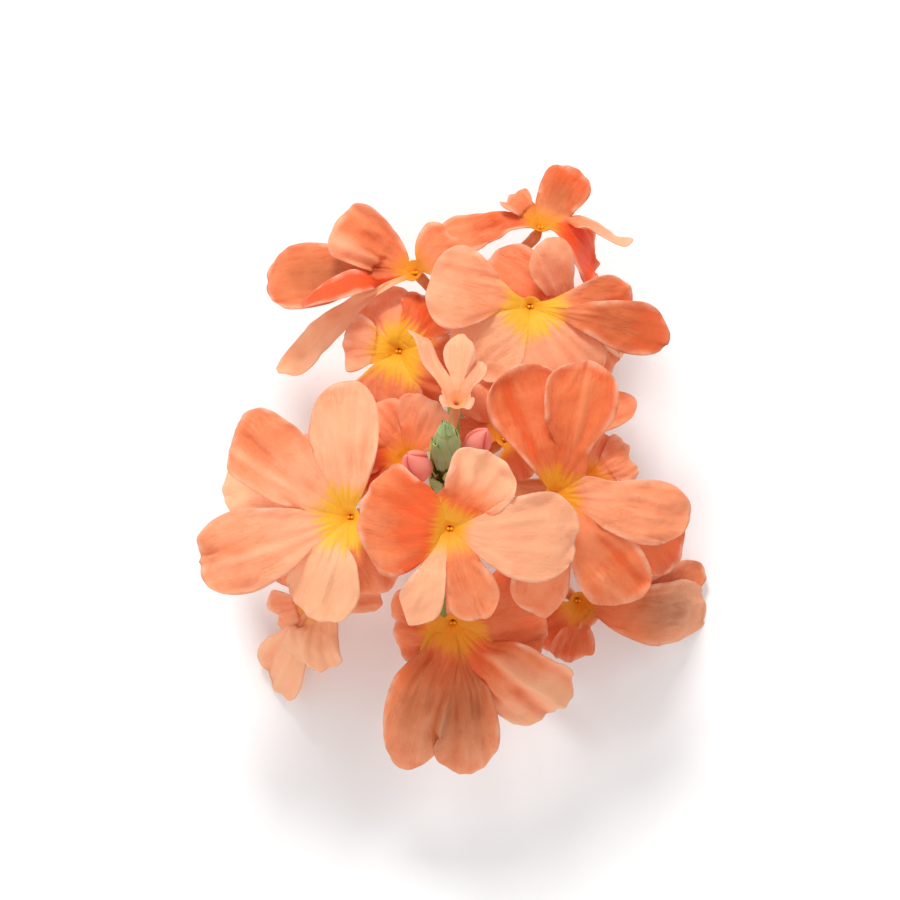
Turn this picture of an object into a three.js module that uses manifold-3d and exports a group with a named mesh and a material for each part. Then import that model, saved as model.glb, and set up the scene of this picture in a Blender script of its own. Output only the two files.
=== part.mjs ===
/**
 * A crossandra flower head, picked and laid down.
 *
 * A short forked stem carries two spikes of green bracts. Sixteen open flowers and a few closed
 * buds stand out of the bracts on slender tubes. Each flower has five lobes, spread like a fan
 * round its throat, and the lobes of one flower lie over those of the next.
 *
 * Millimetres, +Z up. The head is seen from above: +X is its right side and +Y its upper side.
 * It rests on the stem and on the tips of two outer petals.
 */
import * as THREE from "three";
import { mergeVertices } from "three/addons/utils/BufferGeometryUtils.js";
import Module from "manifold-3d";

// ---------------------------------------------------------------- driving dimensions

// Where the middle of the finished part's box lies in the coordinates used below.
const CENTRE = new THREE.Vector2(0.39, -0.56);

// Petals
const PETAL_THICKNESS = 0.65;
const THROAT_RADIUS = 1.7;
const THROAT_DEPTH = 1.7;
const WIDEST_SECTOR = 80; // degrees of the throat's rim that one lobe can take
const OPEN_GAP = 115; // degrees between two lobes from which they no longer join
const ROWS = 5; // quads along a lobe
const COLUMNS = 4; // quads across a lobe

// Flower tubes
const TUBE_SIDES = 6;
const TUBE_RADIUS_AT_SPIKE = 0.8;
const TUBE_RADIUS_UNDER_THROAT = 1.2;
const TUBE_STATIONS = [0.1, 0.25, 0.42, 0.6, 0.8, 1]; // fractions of the way down to the spike

// Spikes of bracts
const SPIKE_CORE_RADIUS = 2.1;
const SPIKE_SIDES = 8;
const BRACT_THICKNESS = 0.7;
const BRACT_LENGTH = 10;
const BRACT_HALF_ANGLE = 62; // degrees of the spike that half a bract's width covers
const BRACT_FLARE = 1.1; // how far a bract's tip stands off
const PAIR_SPACING = 5.4; // from one pair of bracts to the next, which is turned by 90 degrees
const CLEARANCE = 0.55; // between the green sprig and every flower tube

// Stem
const STEM_RADIUS = 1.5;
const STEM_SIDES = 8;

const SPIKES = {
  front: { base: [-0.5, -8, 18], tip: [-0.9, 7.2, 50] },
  back: { base: [1.5, 26.5, 12], tip: [3, 31.5, 35] },
};

// Axis points of the stem from its cut end on, and of the two branches up to the spikes.
const STEM_ROUTES = [
  [
    [-1, -29, 1.4],
    [-0.6, -22, 1.4],
    [0, -14, 1.6],
    [0.6, -4, 1.45],
    [0.8, 8, 1.4],
    [1, 18, 1.7],
    [1.2, 24, 5],
    [1.5, 26.5, 12],
  ],
  [
    [-0.2, -18, 1.6],
    [-0.6, -15.5, 4],
    [-0.8, -13, 8.5],
    [-0.6, -10, 13.5],
    [-0.5, -8, 18],
  ],
];

/**
 * One lobe of a flower. azimuth is its direction seen from above, reach and rise run from the
 * middle of the throat to the lobe's tip, and width is taken at the widest place, which lies at
 * the fraction widest of its length. arch lifts its back, roll turns it about its own length,
 * cup raises its two edges and curl its end. join is the part of the length along which it is
 * grown together with the next lobe anticlockwise, full makes its foot broader and point its tip
 * narrower.
 */
function lobe(azimuth, reach, rise, width, extra = {}) {
  const plain = { arch: 2, roll: 0, cup: 0, notch: 0, curl: 0, widest: 0.68, join: 0.3, full: 0, point: 0 };
  return { azimuth, reach, rise, width, ...plain, ...extra };
}

// at is the middle of the throat and facing the way it looks. The tube grows from a spike, at
// the fraction level of its length and on the side that angle gives.
const FLOWERS = {
  flower_front: {
    at: [-0.2, -10.5, 50], facing: [0, -0.15, 1], colour: "#f8ac80",
    from: { spike: "front", level: 0.48, angle: -90 },
    lobes: [
      lobe(171, 15.6, -3.5, 20, { arch: 1.8, cup: -1, widest: 0.6, join: 0.35, full: 1.5 }),
      lobe(58, 14.7, 1.5, 13.6, { arch: 1, cup: 1.5, curl: 2, full: 0.8 }),
      lobe(-3, 22.8, -4, 16, { arch: 3, notch: 0.5, widest: 0.6, full: 1 }),
      lobe(289, 16.3, -3.5, 9.3, { arch: 1.5, full: 0.8 }),
      lobe(247, 18.4, -3.5, 7.8, { arch: 2.6, point: 0.7 }),
    ],
  },
  flower_left: {
    at: [-17.7, -8.4, 42], facing: [-0.15, 0, 1], colour: "#f8ab7e",
    from: { spike: "front", level: 0.33, angle: -150 },
    lobes: [
      lobe(91, 23.6, -3, 12.4, { arch: 3, widest: 0.6, join: 0.6, full: 1.1 }),
      lobe(141.3, 25.2, -4, 14.6, { arch: 3, roll: -15, cup: 1, widest: 0.75, full: 1.1 }),
      lobe(198.2, 27.9, -5, 14.8, { arch: 3, notch: 0.8, widest: 0.68, join: 0.35, full: 0.9 }),
      lobe(250, 18.3, -3, 13.2, { full: 1 }),
      lobe(295, 14.2, -3, 9.8, { arch: 1, full: 1.6 }),
    ],
  },
  flower_right: {
    at: [18.1, -4.6, 42], facing: [0.1, -0.1, 1], colour: "#ef966c",
    from: { spike: "front", level: 0.33, angle: -30 },
    lobes: [
      lobe(107, 23.8, 3.5, 14.5, { arch: -0.5, cup: 1, widest: 0.72, full: 0.5 }),
      lobe(76, 24.3, 6, 13.7, { arch: 1, cup: 1.5, widest: 0.72, join: 0.45, full: 0.3 }),
      lobe(-9.5, 24.3, -3, 11.4, { full: 1 }),
      lobe(-53, 22.4, -8, 13, { arch: 3, cup: 1, full: 0.7 }),
      lobe(260, 20.9, -8, 10.2, { full: 0.8 }),
    ],
  },
  flower_low: {
    at: [0.35, -27.2, 31], facing: [0, -0.35, 1], colour: "#dd784c",
    from: { spike: "front", level: 0.14, angle: -95 },
    lobes: [
      lobe(250.5, 26.8, -13, 14.4, { arch: 3, widest: 0.45, join: 0.85, full: 3.5, point: 0.4 }),
      lobe(274.5, 27.3, -13.5, 14.2, { arch: 3, widest: 0.6, full: 1, point: 0.4 }),
      lobe(323.5, 24.4, -11, 14, { arch: 3, notch: 2, widest: 0.72, full: 1.8 }),
      lobe(179, 10.8, -2, 14, { arch: 1, full: 1 }),
      lobe(13, 16, -2, 18.5, { arch: 1.5, full: 1.3 }),
    ],
  },
  flower_low_right: {
    at: [22.5, -23.3, 18], facing: [0.3, -0.2, 1], colour: "#d2714a",
    from: { spike: "front", level: 0.05, angle: -40 },
    lobes: [
      lobe(-4.3, 22.6, -18.7, 12.2, { arch: 5, widest: 0.6, full: 1.8 }),
      lobe(12, 23, -16, 8),
      lobe(205, 10.5, -4, 11, { arch: 1, full: 1 }),
      lobe(258, 10, -4, 8.4, { arch: 1, full: 0.6 }),
      lobe(300, 5, -2, 6, { arch: 1, join: 0.15 }),
    ],
  },
  flower_low_left: {
    at: [-23.2, -23, 18], facing: [-0.4, -0.3, 1], colour: "#e48a5e",
    from: { spike: "front", level: 0.05, angle: -140 },
    lobes: [
      lobe(243.5, 17.3, -18.7, 11, { arch: 2.2, roll: 20, full: 0.3 }),
      lobe(268, 12, -3, 10.5, { arch: 4, cup: -1.5, full: 2 }),
      lobe(194, 8.6, -4, 8),
      lobe(125, 12, -3, 9, { arch: 1 }),
      lobe(2, 10.6, -1, 5, { arch: 1 }),
    ],
  },
  flower_left_back: {
    at: [-21.9, -4, 27], facing: [-0.5, 0.2, 1], colour: "#f4a077",
    from: { spike: "front", level: 0.2, angle: -175 },
    lobes: [
      lobe(174, 17.4, -8, 12.6, { arch: 3, full: 0.8 }),
      lobe(222, 11, -5, 9, { arch: 1 }),
      lobe(115, 11, -3, 10, { arch: 1 }),
      lobe(270, 9, -2, 9, { arch: 1 }),
      lobe(52, 11.5, -1, 9, { arch: 1 }),
    ],
  },
  flower_young: {
    at: [1.05, 12.1, 43], facing: [0, 0.5, 0.9], colour: "#f9b490",
    from: { spike: "front", level: 0.7, angle: 80 },
    lobes: [
      lobe(87, 11.8, -1, 5.8, { arch: 1.5, widest: 0.6, point: 0.5 }),
      lobe(124, 15, -2, 4.2, { arch: 1, roll: 60 }),
      lobe(58, 7.6, -1.5, 4.6, { arch: 1 }),
      lobe(190, 2.9, 1, 2.6, { arch: 0.5 }),
      lobe(-20, 2.9, 1, 2.6, { arch: 0.5 }),
    ],
  },
  flower_behind: {
    at: [-8, 1.5, 31.5], facing: [-0.2, 0.5, 0.9], colour: "#ee8a52",
    from: { spike: "front", level: 0.36, angle: 150 },
    lobes: [
      lobe(62, 11.6, 2.5, 12, { cup: 1, full: 0.6 }),
      lobe(128, 11.5, -1.5, 11, { arch: 1 }),
      lobe(175, 10.5, -1, 10.5, { arch: 1, full: 0.6 }),
      lobe(212, 9, 1, 8, { arch: 0.5 }),
      lobe(246, 4.5, -1.5, 5, { arch: 0.5 }),
    ],
  },
  flower_behind_right: {
    at: [9.6, 5.5, 34], facing: [0.2, 0.4, 0.9], colour: "#ec8c66",
    from: { spike: "front", level: 0.42, angle: 30 },
    lobes: [
      lobe(120, 11.2, 0.2, 10.5, { arch: 1.6, full: 0.5 }),
      lobe(172, 8.4, 0, 8, { arch: 1, full: 0.4 }),
      lobe(72, 10, -2, 9, { arch: 1 }),
      lobe(15, 23.8, -6, 7.4, { arch: 1 }),
      lobe(-66, 7.8, -1.2, 11, { arch: 0.5, full: 1.5 }),
    ],
  },
  flower_right_back: {
    at: [23.7, -2, 27], facing: [0.5, 0.2, 0.9], colour: "#e0805c",
    from: { spike: "front", level: 0.2, angle: 10 },
    lobes: [
      lobe(80, 9, -1, 8, { arch: 1 }),
      lobe(32, 9.2, -3, 9, { arch: 3 }),
      lobe(-42, 21.5, -9, 13.5, { arch: 3 }),
      lobe(150, 10, 0, 8),
      lobe(235, 8, -1, 8),
    ],
  },
  flower_upper_right: {
    at: [14, 28.4, 36], facing: [0.1, 0, 1], colour: "#f29c70",
    from: { spike: "back", level: 0.6, angle: -10 },
    lobes: [
      lobe(166, 18.5, 3, 15, { arch: 1.5 }),
      lobe(221, 15.6, -1, 13.5, { arch: 1, join: 0.55, full: 0.9 }),
      lobe(300, 17, -2, 15.5, { arch: 1.5, full: 0.8 }),
      lobe(-11.7, 24.8, -5.5, 9.4, { arch: 3.6, full: 0.4 }),
      lobe(5, 17.6, -5, 8.8, { arch: 1.2 }),
    ],
  },
  flower_upper_left: {
    at: [-9.3, 20.5, 29], facing: [-0.1, -0.1, 1], colour: "#f0935f",
    from: { spike: "back", level: 0.45, angle: -150 },
    lobes: [
      lobe(167, 9.8, 0, 10.5, { arch: 1.4 }),
      lobe(258, 11, -2, 13.5, { arch: 1, full: 1 }),
      lobe(339, 12.6, -1.5, 14.4, { arch: 1, full: 0.8 }),
      lobe(52, 11.4, -3.8, 11, { join: 0.5, full: 0.8 }),
      lobe(106, 11.4, -6.5, 10.2, { arch: 0.6, full: 0.8 }),
    ],
  },
  flower_far_left: {
    at: [-6.7, 34.6, 31], facing: [-0.45, 0.25, 0.85], colour: "#f2905f",
    from: { spike: "back", level: 0.35, angle: 170 },
    lobes: [
      lobe(146, 16.2, 1.8, 10.8, { arch: 2.2, cup: 1, widest: 0.75, full: 1.4 }),
      lobe(184, 26, -9, 12.4, { arch: 3, full: 0.8 }),
      lobe(198, 19.5, 0.5, 7, { arch: 5, roll: 35, full: 0.4 }),
      lobe(216, 29.5, -14, 6.4, { arch: -2.5 }),
      lobe(27, 9.4, -1, 12.5, { full: 1.2 }),
    ],
  },
  flower_far_right: {
    at: [15.8, 43, 24], facing: [0.1, 0.7, 0.7], colour: "#e2744a",
    from: { spike: "back", level: 0.2, angle: 75 },
    lobes: [
      lobe(56, 11.4, -2, 9.5, { arch: 1, full: 1.6 }),
      lobe(-13, 16.1, -2, 6.4, { arch: 1, roll: -35 }),
      lobe(190.5, 20.5, -1, 10.5, { arch: -1, roll: 15, full: 0.5 }),
      lobe(-42, 12.6, -5.5, 12.5, { arch: 1, full: 0.8 }),
      lobe(143, 7.9, -1, 7),
    ],
  },
  flower_right_hidden: {
    at: [20.2, 26.7, 23], facing: [0.5, 0, 0.9], colour: "#ea8a60",
    from: { spike: "back", level: 0.2, angle: 0 },
    lobes: [
      lobe(109, 14, 8, 9.2, { full: 0.4 }),
      lobe(-24, 12.9, -5, 6.5),
      lobe(30, 7.4, -9, 6.5, { arch: 0.5 }),
      lobe(142, 17, 3, 11, { full: 0.7 }),
      lobe(-57, 13, -3, 9),
    ],
  },
};

// Closed buds: the foot of the bud, its tip and its greatest radius.
const BUDS = {
  bud_left: { foot: [-5, -0.8, 37.8], tip: [-7.4, 2.4, 43], radius: 2.6 },
  bud_right: { foot: [3.6, 3.2, 38], tip: [6.2, 6.6, 43], radius: 2.2 },
};

const BRACT_COLOUR = "#7f9460";
const BUD_COLOUR = "#f98968";

// ---------------------------------------------------------------- small helpers

const vector = (numbers) => new THREE.Vector3(...numbers);
const clamp01 = (value) => Math.min(1, Math.max(0, value));
const radians = THREE.MathUtils.degToRad;

function ease(value) {
  const t = clamp01(value);
  return t * t * (3 - 2 * t);
}

// a + b * scale
const plus = (a, b, scale = 1) => a.clone().addScaledVector(b, scale);

/** A growing list of points and triangles that becomes one closed mesh. */
class Shell {
  points = [];
  triangles = [];

  add(point) {
    this.points.push(point);
    return this.points.length - 1;
  }

  quad(a, b, c, d) {
    this.triangles.push([a, b, c], [a, c, d]);
  }

  geometry() {
    const geometry = new THREE.BufferGeometry();
    const numbers = this.points.flatMap((point) => point.toArray());
    geometry.setAttribute("position", new THREE.Float32BufferAttribute(numbers, 3));
    geometry.setIndex(this.triangles.flat());
    return geometry;
  }
}

// ---------------------------------------------------------------- solids and booleans

const wasm = await Module();
wasm.setup();

function solidFrom(geometry) {
  const bare = geometry.clone();
  bare.deleteAttribute("normal");
  bare.deleteAttribute("uv");
  const merged = mergeVertices(bare, 1e-4);
  const vertProperties = new Float32Array(merged.attributes.position.array);
  const triVerts = new Uint32Array(merged.index.array);
  return new wasm.Manifold(new wasm.Mesh({ numProp: 3, vertProperties, triVerts }));
}

function geometryFrom(solid) {
  const mesh = solid.getMesh();
  const geometry = new THREE.BufferGeometry();
  geometry.setAttribute("position", new THREE.BufferAttribute(mesh.vertProperties, 3));
  geometry.setIndex(new THREE.BufferAttribute(mesh.triVerts, 1));
  geometry.computeVertexNormals();
  return geometry;
}

const joined = (solids) => solids.reduce((whole, solid) => whole.add(solid));

// What is left of a solid above the surface it lies on, without the crumbs of a cut.
function largestPieceAboveFloor(solid) {
  const pieces = solid.trimByPlane([0, 0, 1], 0).decompose();
  return pieces.reduce((best, piece) => (piece.volume() > best.volume() ? piece : best));
}

// ---------------------------------------------------------------- tubes

/**
 * A round tapering tube along an open curve as a closed shell. radiusAt gives the radius at a
 * fraction of the length, and ripple an optional factor by angle, for a pleated bud.
 */
function tubeShell(curve, steps, sides, radiusAt, ripple = () => 1) {
  const shell = new Shell();
  const frames = curve.computeFrenetFrames(steps, false);
  const rings = [];
  for (let i = 0; i <= steps; i++) {
    const centre = curve.getPointAt(i / steps);
    const ring = [];
    for (let k = 0; k < sides; k++) {
      const angle = (k / sides) * 2 * Math.PI;
      const radius = radiusAt(i / steps) * ripple(angle);
      const out = plus(centre, frames.normals[i], Math.cos(angle) * radius);
      ring.push(shell.add(plus(out, frames.binormals[i], Math.sin(angle) * radius)));
    }
    rings.push(ring);
  }
  const first = shell.add(curve.getPointAt(0));
  const last = shell.add(curve.getPointAt(1));
  for (let k = 0; k < sides; k++) {
    const next = (k + 1) % sides;
    for (let i = 0; i < steps; i++) {
      shell.quad(rings[i][k], rings[i][next], rings[i + 1][next], rings[i + 1][k]);
    }
    shell.triangles.push([first, rings[0][next], rings[0][k]]);
    shell.triangles.push([last, rings[steps][k], rings[steps][next]]);
  }
  return shell;
}

// ---------------------------------------------------------------- the green sprig

function spikeFrame({ base, tip }) {
  const foot = vector(base);
  const axis = vector(tip).sub(foot);
  const length = axis.length();
  axis.normalize();
  const right = new THREE.Vector3(1, 0, 0).addScaledVector(axis, -axis.x).normalize();
  return { foot, axis, length, right, up: axis.clone().cross(right) };
}

// A point at a distance from the spike's axis: along it in mm, and angle in degrees round it.
function onSpike(frame, along, radius, angle) {
  const turn = radians(angle);
  const out = frame.right.clone().multiplyScalar(Math.cos(turn)).addScaledVector(frame.up, Math.sin(turn));
  return plus(plus(frame.foot, frame.axis, along), out, radius);
}

const coreRadius = (fraction) => SPIKE_CORE_RADIUS * Math.sqrt(Math.max(0.02, 1 - fraction ** 3));

// How far bracts stand off the core: all the way low down, and a third of it at the spike's tip.
const closing = (fraction) => 1 - 0.65 * ease((fraction - 0.72) / 0.3);

/**
 * One bract: an ovate scale that hugs the spike, with only its pointed tip standing off. extra
 * makes it fatter on every side.
 */
function bractSolid(frame, along, angle, extra) {
  const rows = 5;
  const columns = 2;
  const shell = new Shell();
  const outer = [];
  const inner = [];
  for (let i = 0; i <= rows; i++) {
    const u = i / rows;
    const height = along + u * (BRACT_LENGTH + extra);
    const core = coreRadius(Math.min(1, height / frame.length));
    const off = 0.25 + 0.8 * Math.sin(Math.PI * Math.min(0.5, u)) + BRACT_FLARE * u ** 3;
    const stand = closing(height / frame.length);
    const back = core + off * stand;
    const belly = THREE.MathUtils.lerp(core - 0.5, back - BRACT_THICKNESS, ease((u - 0.5) / 0.4));
    const opened = BRACT_HALF_ANGLE * Math.sin(Math.PI * (0.25 + 0.72 * u));
    const half = opened / stand + (extra / back) * 57;
    const outerRow = [];
    const innerRow = [];
    for (let j = 0; j <= columns; j++) {
      const v = (2 * j) / columns - 1;
      const turned = angle + v * half;
      outerRow.push(shell.add(onSpike(frame, height, back + extra - 0.35 * stand * v * v, turned)));
      innerRow.push(shell.add(onSpike(frame, height, belly - extra - 0.35 * stand * v * v, turned)));
    }
    outer.push(outerRow);
    inner.push(innerRow);
  }
  const rim = [];
  for (let i = 0; i < rows; i++) rim.push([i, 0, i + 1, 0]);
  for (let j = 0; j < columns; j++) rim.push([rows, j, rows, j + 1]);
  for (let i = rows; i > 0; i--) rim.push([i, columns, i - 1, columns]);
  for (let j = columns; j > 0; j--) rim.push([0, j, 0, j - 1]);
  for (let i = 0; i < rows; i++) {
    for (let j = 0; j < columns; j++) {
      shell.quad(outer[i][j], outer[i][j + 1], outer[i + 1][j + 1], outer[i + 1][j]);
      shell.quad(inner[i][j], inner[i + 1][j], inner[i + 1][j + 1], inner[i][j + 1]);
    }
  }
  for (const [i, j, m, n] of rim) shell.quad(outer[i][j], outer[m][n], inner[m][n], inner[i][j]);
  return solidFrom(shell.geometry());
}

/** A spike: a tapering core under pairs of bracts, each pair turned by 90 degrees. */
function spikeSolid(spike, extra) {
  const frame = spikeFrame(spike);
  const line = new THREE.LineCurve3(frame.foot, plus(frame.foot, frame.axis, frame.length));
  const core = tubeShell(line, 6, SPIKE_SIDES, (fraction) => coreRadius(fraction) + extra);
  const solids = [solidFrom(core.geometry())];
  const pairs = Math.floor((frame.length - BRACT_LENGTH * 0.8) / PAIR_SPACING) + 1;
  for (let pair = 0; pair < pairs; pair++) {
    for (const side of [0, 180]) {
      const angle = side + (pair % 2) * 90 + 45;
      solids.push(bractSolid(frame, pair * PAIR_SPACING, angle, extra));
    }
  }
  return joined(solids);
}

function stemSolid(points, extra) {
  const curve = new THREE.CatmullRomCurve3(points.map(vector));
  const shell = tubeShell(curve, 2 * points.length, STEM_SIDES, () => STEM_RADIUS + extra);
  return solidFrom(shell.geometry());
}

// extra makes the whole sprig fatter by that much: the space that flower tubes stay out of.
function sprigSolid(extra = 0) {
  const stems = STEM_ROUTES.map((points) => stemSolid(points, extra));
  const spikes = Object.values(SPIKES).map((spike) => spikeSolid(spike, extra));
  return joined([...stems, ...spikes]);
}

// ---------------------------------------------------------------- flowers

/** The middle surface of a lobe as a grid of points, with the fraction of the length at each. */
function lobeGrid(flower, petal, sector) {
  const throat = vector(flower.at);
  const facing = vector(flower.facing).normalize();
  const azimuth = radians(petal.azimuth);
  const run = new THREE.Vector3(
    petal.reach * Math.cos(azimuth),
    petal.reach * Math.sin(azimuth),
    petal.rise,
  );
  const tip = throat.clone().add(run);
  const out = plus(run, facing, -run.dot(facing)).normalize();
  const foot = plus(throat, out, THROAT_RADIUS);
  const span = tip.distanceTo(foot);
  const leave = plus(plus(plus(foot, out, 0.28 * span), facing, 0.165 * span), facing, 0.4 * petal.arch);
  const arrive = plus(foot.clone().lerp(tip, 0.68), facing, 1.2 * petal.arch);
  const spine = new THREE.CubicBezierCurve3(foot, leave, arrive, tip);
  const length = spine.getLength();
  const footShare = Math.min(0.8, (2 * THROAT_RADIUS * Math.tan(radians(sector / 2))) / petal.width);

  const grid = [];
  for (let i = 0; i <= ROWS; i++) {
    const u = i / ROWS;
    const row = [];
    for (let j = 0; j <= COLUMNS; j++) {
      const v = (2 * j) / COLUMNS - 1;
      // Beyond the widest place the grid's end bends round into the lobe's round tip.
      const t = clamp01((u - petal.widest) / (1 - petal.widest));
      const across = v * Math.sqrt(1 - (t * t) / 2) * (1 - 0.5 * petal.point * t * t);
      const beyond = t * Math.sqrt(1 - (v * v * t * (2 - t)) / 2);
      let along = u <= petal.widest ? u : petal.widest + (1 - petal.widest) * beyond;
      along -= (petal.notch / length) * Math.exp(-((across / 0.25) ** 2)) * ease(t);
      const open = clamp01(along / (petal.widest * 1.05));
      const share = Math.min(1, petal.full);
      const bow = Math.sin((open * Math.PI) / 2) ** (1 / Math.max(1, petal.full));
      const swell = (1 - share) * ease(open) + share * bow;
      const half = (petal.width / 2) * (footShare + (1 - footShare) * swell);

      const tangent = spine.getTangentAt(clamp01(along));
      const side = facing.clone().cross(tangent).normalize();
      const normal = tangent.clone().cross(side);
      const roll = radians(petal.roll) * ease(along);
      const sideways = side.clone().multiplyScalar(Math.cos(roll)).addScaledVector(normal, Math.sin(roll));
      const lift = normal.multiplyScalar(Math.cos(roll)).addScaledVector(side, -Math.sin(roll));
      const raised = petal.cup * across * across * ease(along) + petal.curl * ease((along - 0.6) / 0.4);
      const place = plus(plus(spine.getPointAt(clamp01(along)), sideways, half * across), lift, raised);
      row.push({ place, along });
    }
    grid.push(row);
  }
  return grid;
}

// 1 where two neighbouring lobes are one sheet, falling to 0 where they are free.
function grownTogether(along, join) {
  const share = 1 - ease((along - 0.6 * join) / (0.6 * join));
  return share > 0.9 ? 1 : share;
}

/**
 * The five lobes of a flower in their order round the throat, with neighbours pulled together
 * near the throat, so that they form one sheet there.
 */
function flowerGrids(flower) {
  const turn = (degrees) => ((degrees % 360) + 360) % 360;
  const petals = [...flower.lobes].sort((a, b) => turn(a.azimuth) - turn(b.azimuth));
  const count = petals.length;
  const gaps = petals.map((petal, i) => turn(petals[(i + 1) % count].azimuth - petal.azimuth));
  const grids = petals.map((petal, i) => {
    const before = Math.min(gaps[(i + count - 1) % count], WIDEST_SECTOR);
    return lobeGrid(flower, petal, (before + Math.min(gaps[i], WIDEST_SECTOR)) / 2);
  });
  petals.forEach((petal, i) => {
    if (gaps[i] > OPEN_GAP) return;
    const here = grids[i];
    const there = grids[(i + 1) % count];
    for (let row = 0; row <= ROWS; row++) {
      const share = grownTogether(here[row][COLUMNS].along, petal.join);
      const middle = here[row][COLUMNS].place.clone().lerp(there[row][0].place, 0.5);
      const pullHere = plus(middle, here[row][COLUMNS].place, -1).multiplyScalar(share);
      const pullThere = plus(middle, there[row][0].place, -1).multiplyScalar(share);
      for (let j = 0; j <= COLUMNS; j++) {
        here[row][j].place.addScaledVector(pullHere, (j / COLUMNS) ** 1.5);
        there[row][j].place.addScaledVector(pullThere, (1 - j / COLUMNS) ** 1.5);
      }
      here[row][COLUMNS].fused = share === 1;
    }
  });
  return { grids, gaps };
}

/** Points on the throat's rim where two lobes stand too far apart to join. */
function rimArc(flower, from, to) {
  const throat = vector(flower.at);
  const facing = vector(flower.facing).normalize();
  const start = plus(from, throat, -1);
  const end = plus(to, throat, -1);
  const steps = 3;
  let angle = Math.atan2(start.clone().cross(end).dot(facing), start.dot(end));
  if (angle < 0) angle += 2 * Math.PI;
  const points = [];
  for (let k = 1; k < steps; k++) {
    const arm = start.clone().applyAxisAngle(facing, (angle * k) / steps);
    points.push(plus(throat, arm, 0.9));
  }
  return points;
}

/** A whole flower as one closed sheet: lobes, rim, throat and tube. */
function flowerShell(flower) {
  const { grids, gaps } = flowerGrids(flower);
  const count = grids.length;
  const middle = []; // points of the middle surface
  const normals = [];
  const sheet = []; // triangles of the middle surface
  const add = (point) => {
    middle.push(point);
    normals.push(new THREE.Vector3());
    return middle.length - 1;
  };
  const ids = grids.map((grid) => grid.map((row) => row.map(() => -1)));
  grids.forEach((grid, lobeIndex) => {
    const before = (lobeIndex + count - 1) % count;
    for (let i = 0; i <= ROWS; i++) {
      for (let j = 0; j <= COLUMNS; j++) ids[lobeIndex][i][j] = add(grid[i][j].place);
      // The first lobe's clockwise edge is welded once the last lobe has its points.
      if (lobeIndex > 0 && grids[before][i][COLUMNS].fused) ids[lobeIndex][i][0] = ids[before][i][COLUMNS];
    }
  });
  for (let i = 0; i <= ROWS; i++) {
    if (grids[count - 1][i][COLUMNS].fused) ids[0][i][0] = ids[count - 1][i][COLUMNS];
  }
  for (const id of ids) {
    for (let i = 0; i < ROWS; i++) {
      for (let j = 0; j < COLUMNS; j++) {
        sheet.push([id[i][j], id[i + 1][j], id[i + 1][j + 1]]);
        sheet.push([id[i][j], id[i + 1][j + 1], id[i][j + 1]]);
      }
    }
  }

  // The rim of the throat, anticlockwise: the feet of the lobes and the arcs between them.
  const ring = [];
  const bareArcs = new Set();
  ids.forEach((id, lobeIndex) => {
    for (let j = 0; j <= COLUMNS; j++) if (ring.at(-1) !== id[0][j]) ring.push(id[0][j]);
    if (gaps[lobeIndex] <= OPEN_GAP) return;
    const next = ids[(lobeIndex + 1) % count][0][0];
    for (const point of rimArc(flower, middle[id[0][COLUMNS]], middle[next])) {
      bareArcs.add(ring.at(-1));
      ring.push(add(point));
    }
    bareArcs.add(ring.at(-1));
  });
  if (ring[0] === ring.at(-1)) ring.pop();

  const facing = vector(flower.facing).normalize();
  for (const [a, b, c] of sheet) {
    const face = plus(middle[b], middle[a], -1).cross(plus(middle[c], middle[a], -1));
    for (const index of [a, b, c]) normals[index].add(face);
  }
  for (const normal of normals) {
    if (normal.lengthSq() === 0) normal.copy(facing);
    normal.normalize();
  }

  const shell = new Shell();
  const top = middle.map((point, i) => shell.add(plus(point, normals[i], PETAL_THICKNESS / 2)));
  const under = middle.map((point, i) => shell.add(plus(point, normals[i], -PETAL_THICKNESS / 2)));
  const wall = (p, q) => shell.quad(top[q], top[p], under[p], under[q]);
  for (const [a, b, c] of sheet) {
    shell.triangles.push([top[a], top[b], top[c]], [under[a], under[c], under[b]]);
  }

  // Walls along every free edge: an edge that only one triangle uses and that isn't the rim.
  const uses = new Map();
  const key = (p, q) => `${Math.min(p, q)}_${Math.max(p, q)}`;
  for (const [a, b, c] of sheet) {
    for (const [p, q] of [[a, b], [b, c], [c, a]]) uses.set(key(p, q), uses.has(key(p, q)) ? null : [p, q]);
  }
  ring.forEach((p, i) => uses.set(key(p, ring[(i + 1) % ring.length]), null));
  for (const edge of uses.values()) if (edge) wall(...edge);

  const throat = vector(flower.at);
  const bottom = shell.add(plus(throat, facing, -THROAT_DEPTH));
  ring.forEach((p, i) => {
    const q = ring[(i + 1) % ring.length];
    shell.triangles.push([top[p], top[q], bottom]);
    if (bareArcs.has(p)) wall(p, q);
  });
  growTube(shell, flower, ring.map((index) => under[index]));
  return shell;
}

/** The way of a flower's tube, from the throat down to its spike. */
function tubeCurve(flower) {
  const frame = spikeFrame(SPIKES[flower.from.spike]);
  const foot = onSpike(frame, flower.from.level * frame.length, SPIKE_CORE_RADIUS + 0.3, flower.from.angle);
  const centre = plus(frame.foot, frame.axis, flower.from.level * frame.length);
  const outward = plus(foot, centre, -1).normalize();
  const throat = vector(flower.at);
  const facing = vector(flower.facing).normalize();
  const reach = 0.35 * throat.distanceTo(foot);
  const start = plus(plus(foot, frame.axis, 0.8 * reach), outward, 0.6 * reach);
  return new THREE.CubicBezierCurve3(throat, plus(throat, facing, -reach), start, foot);
}

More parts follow.
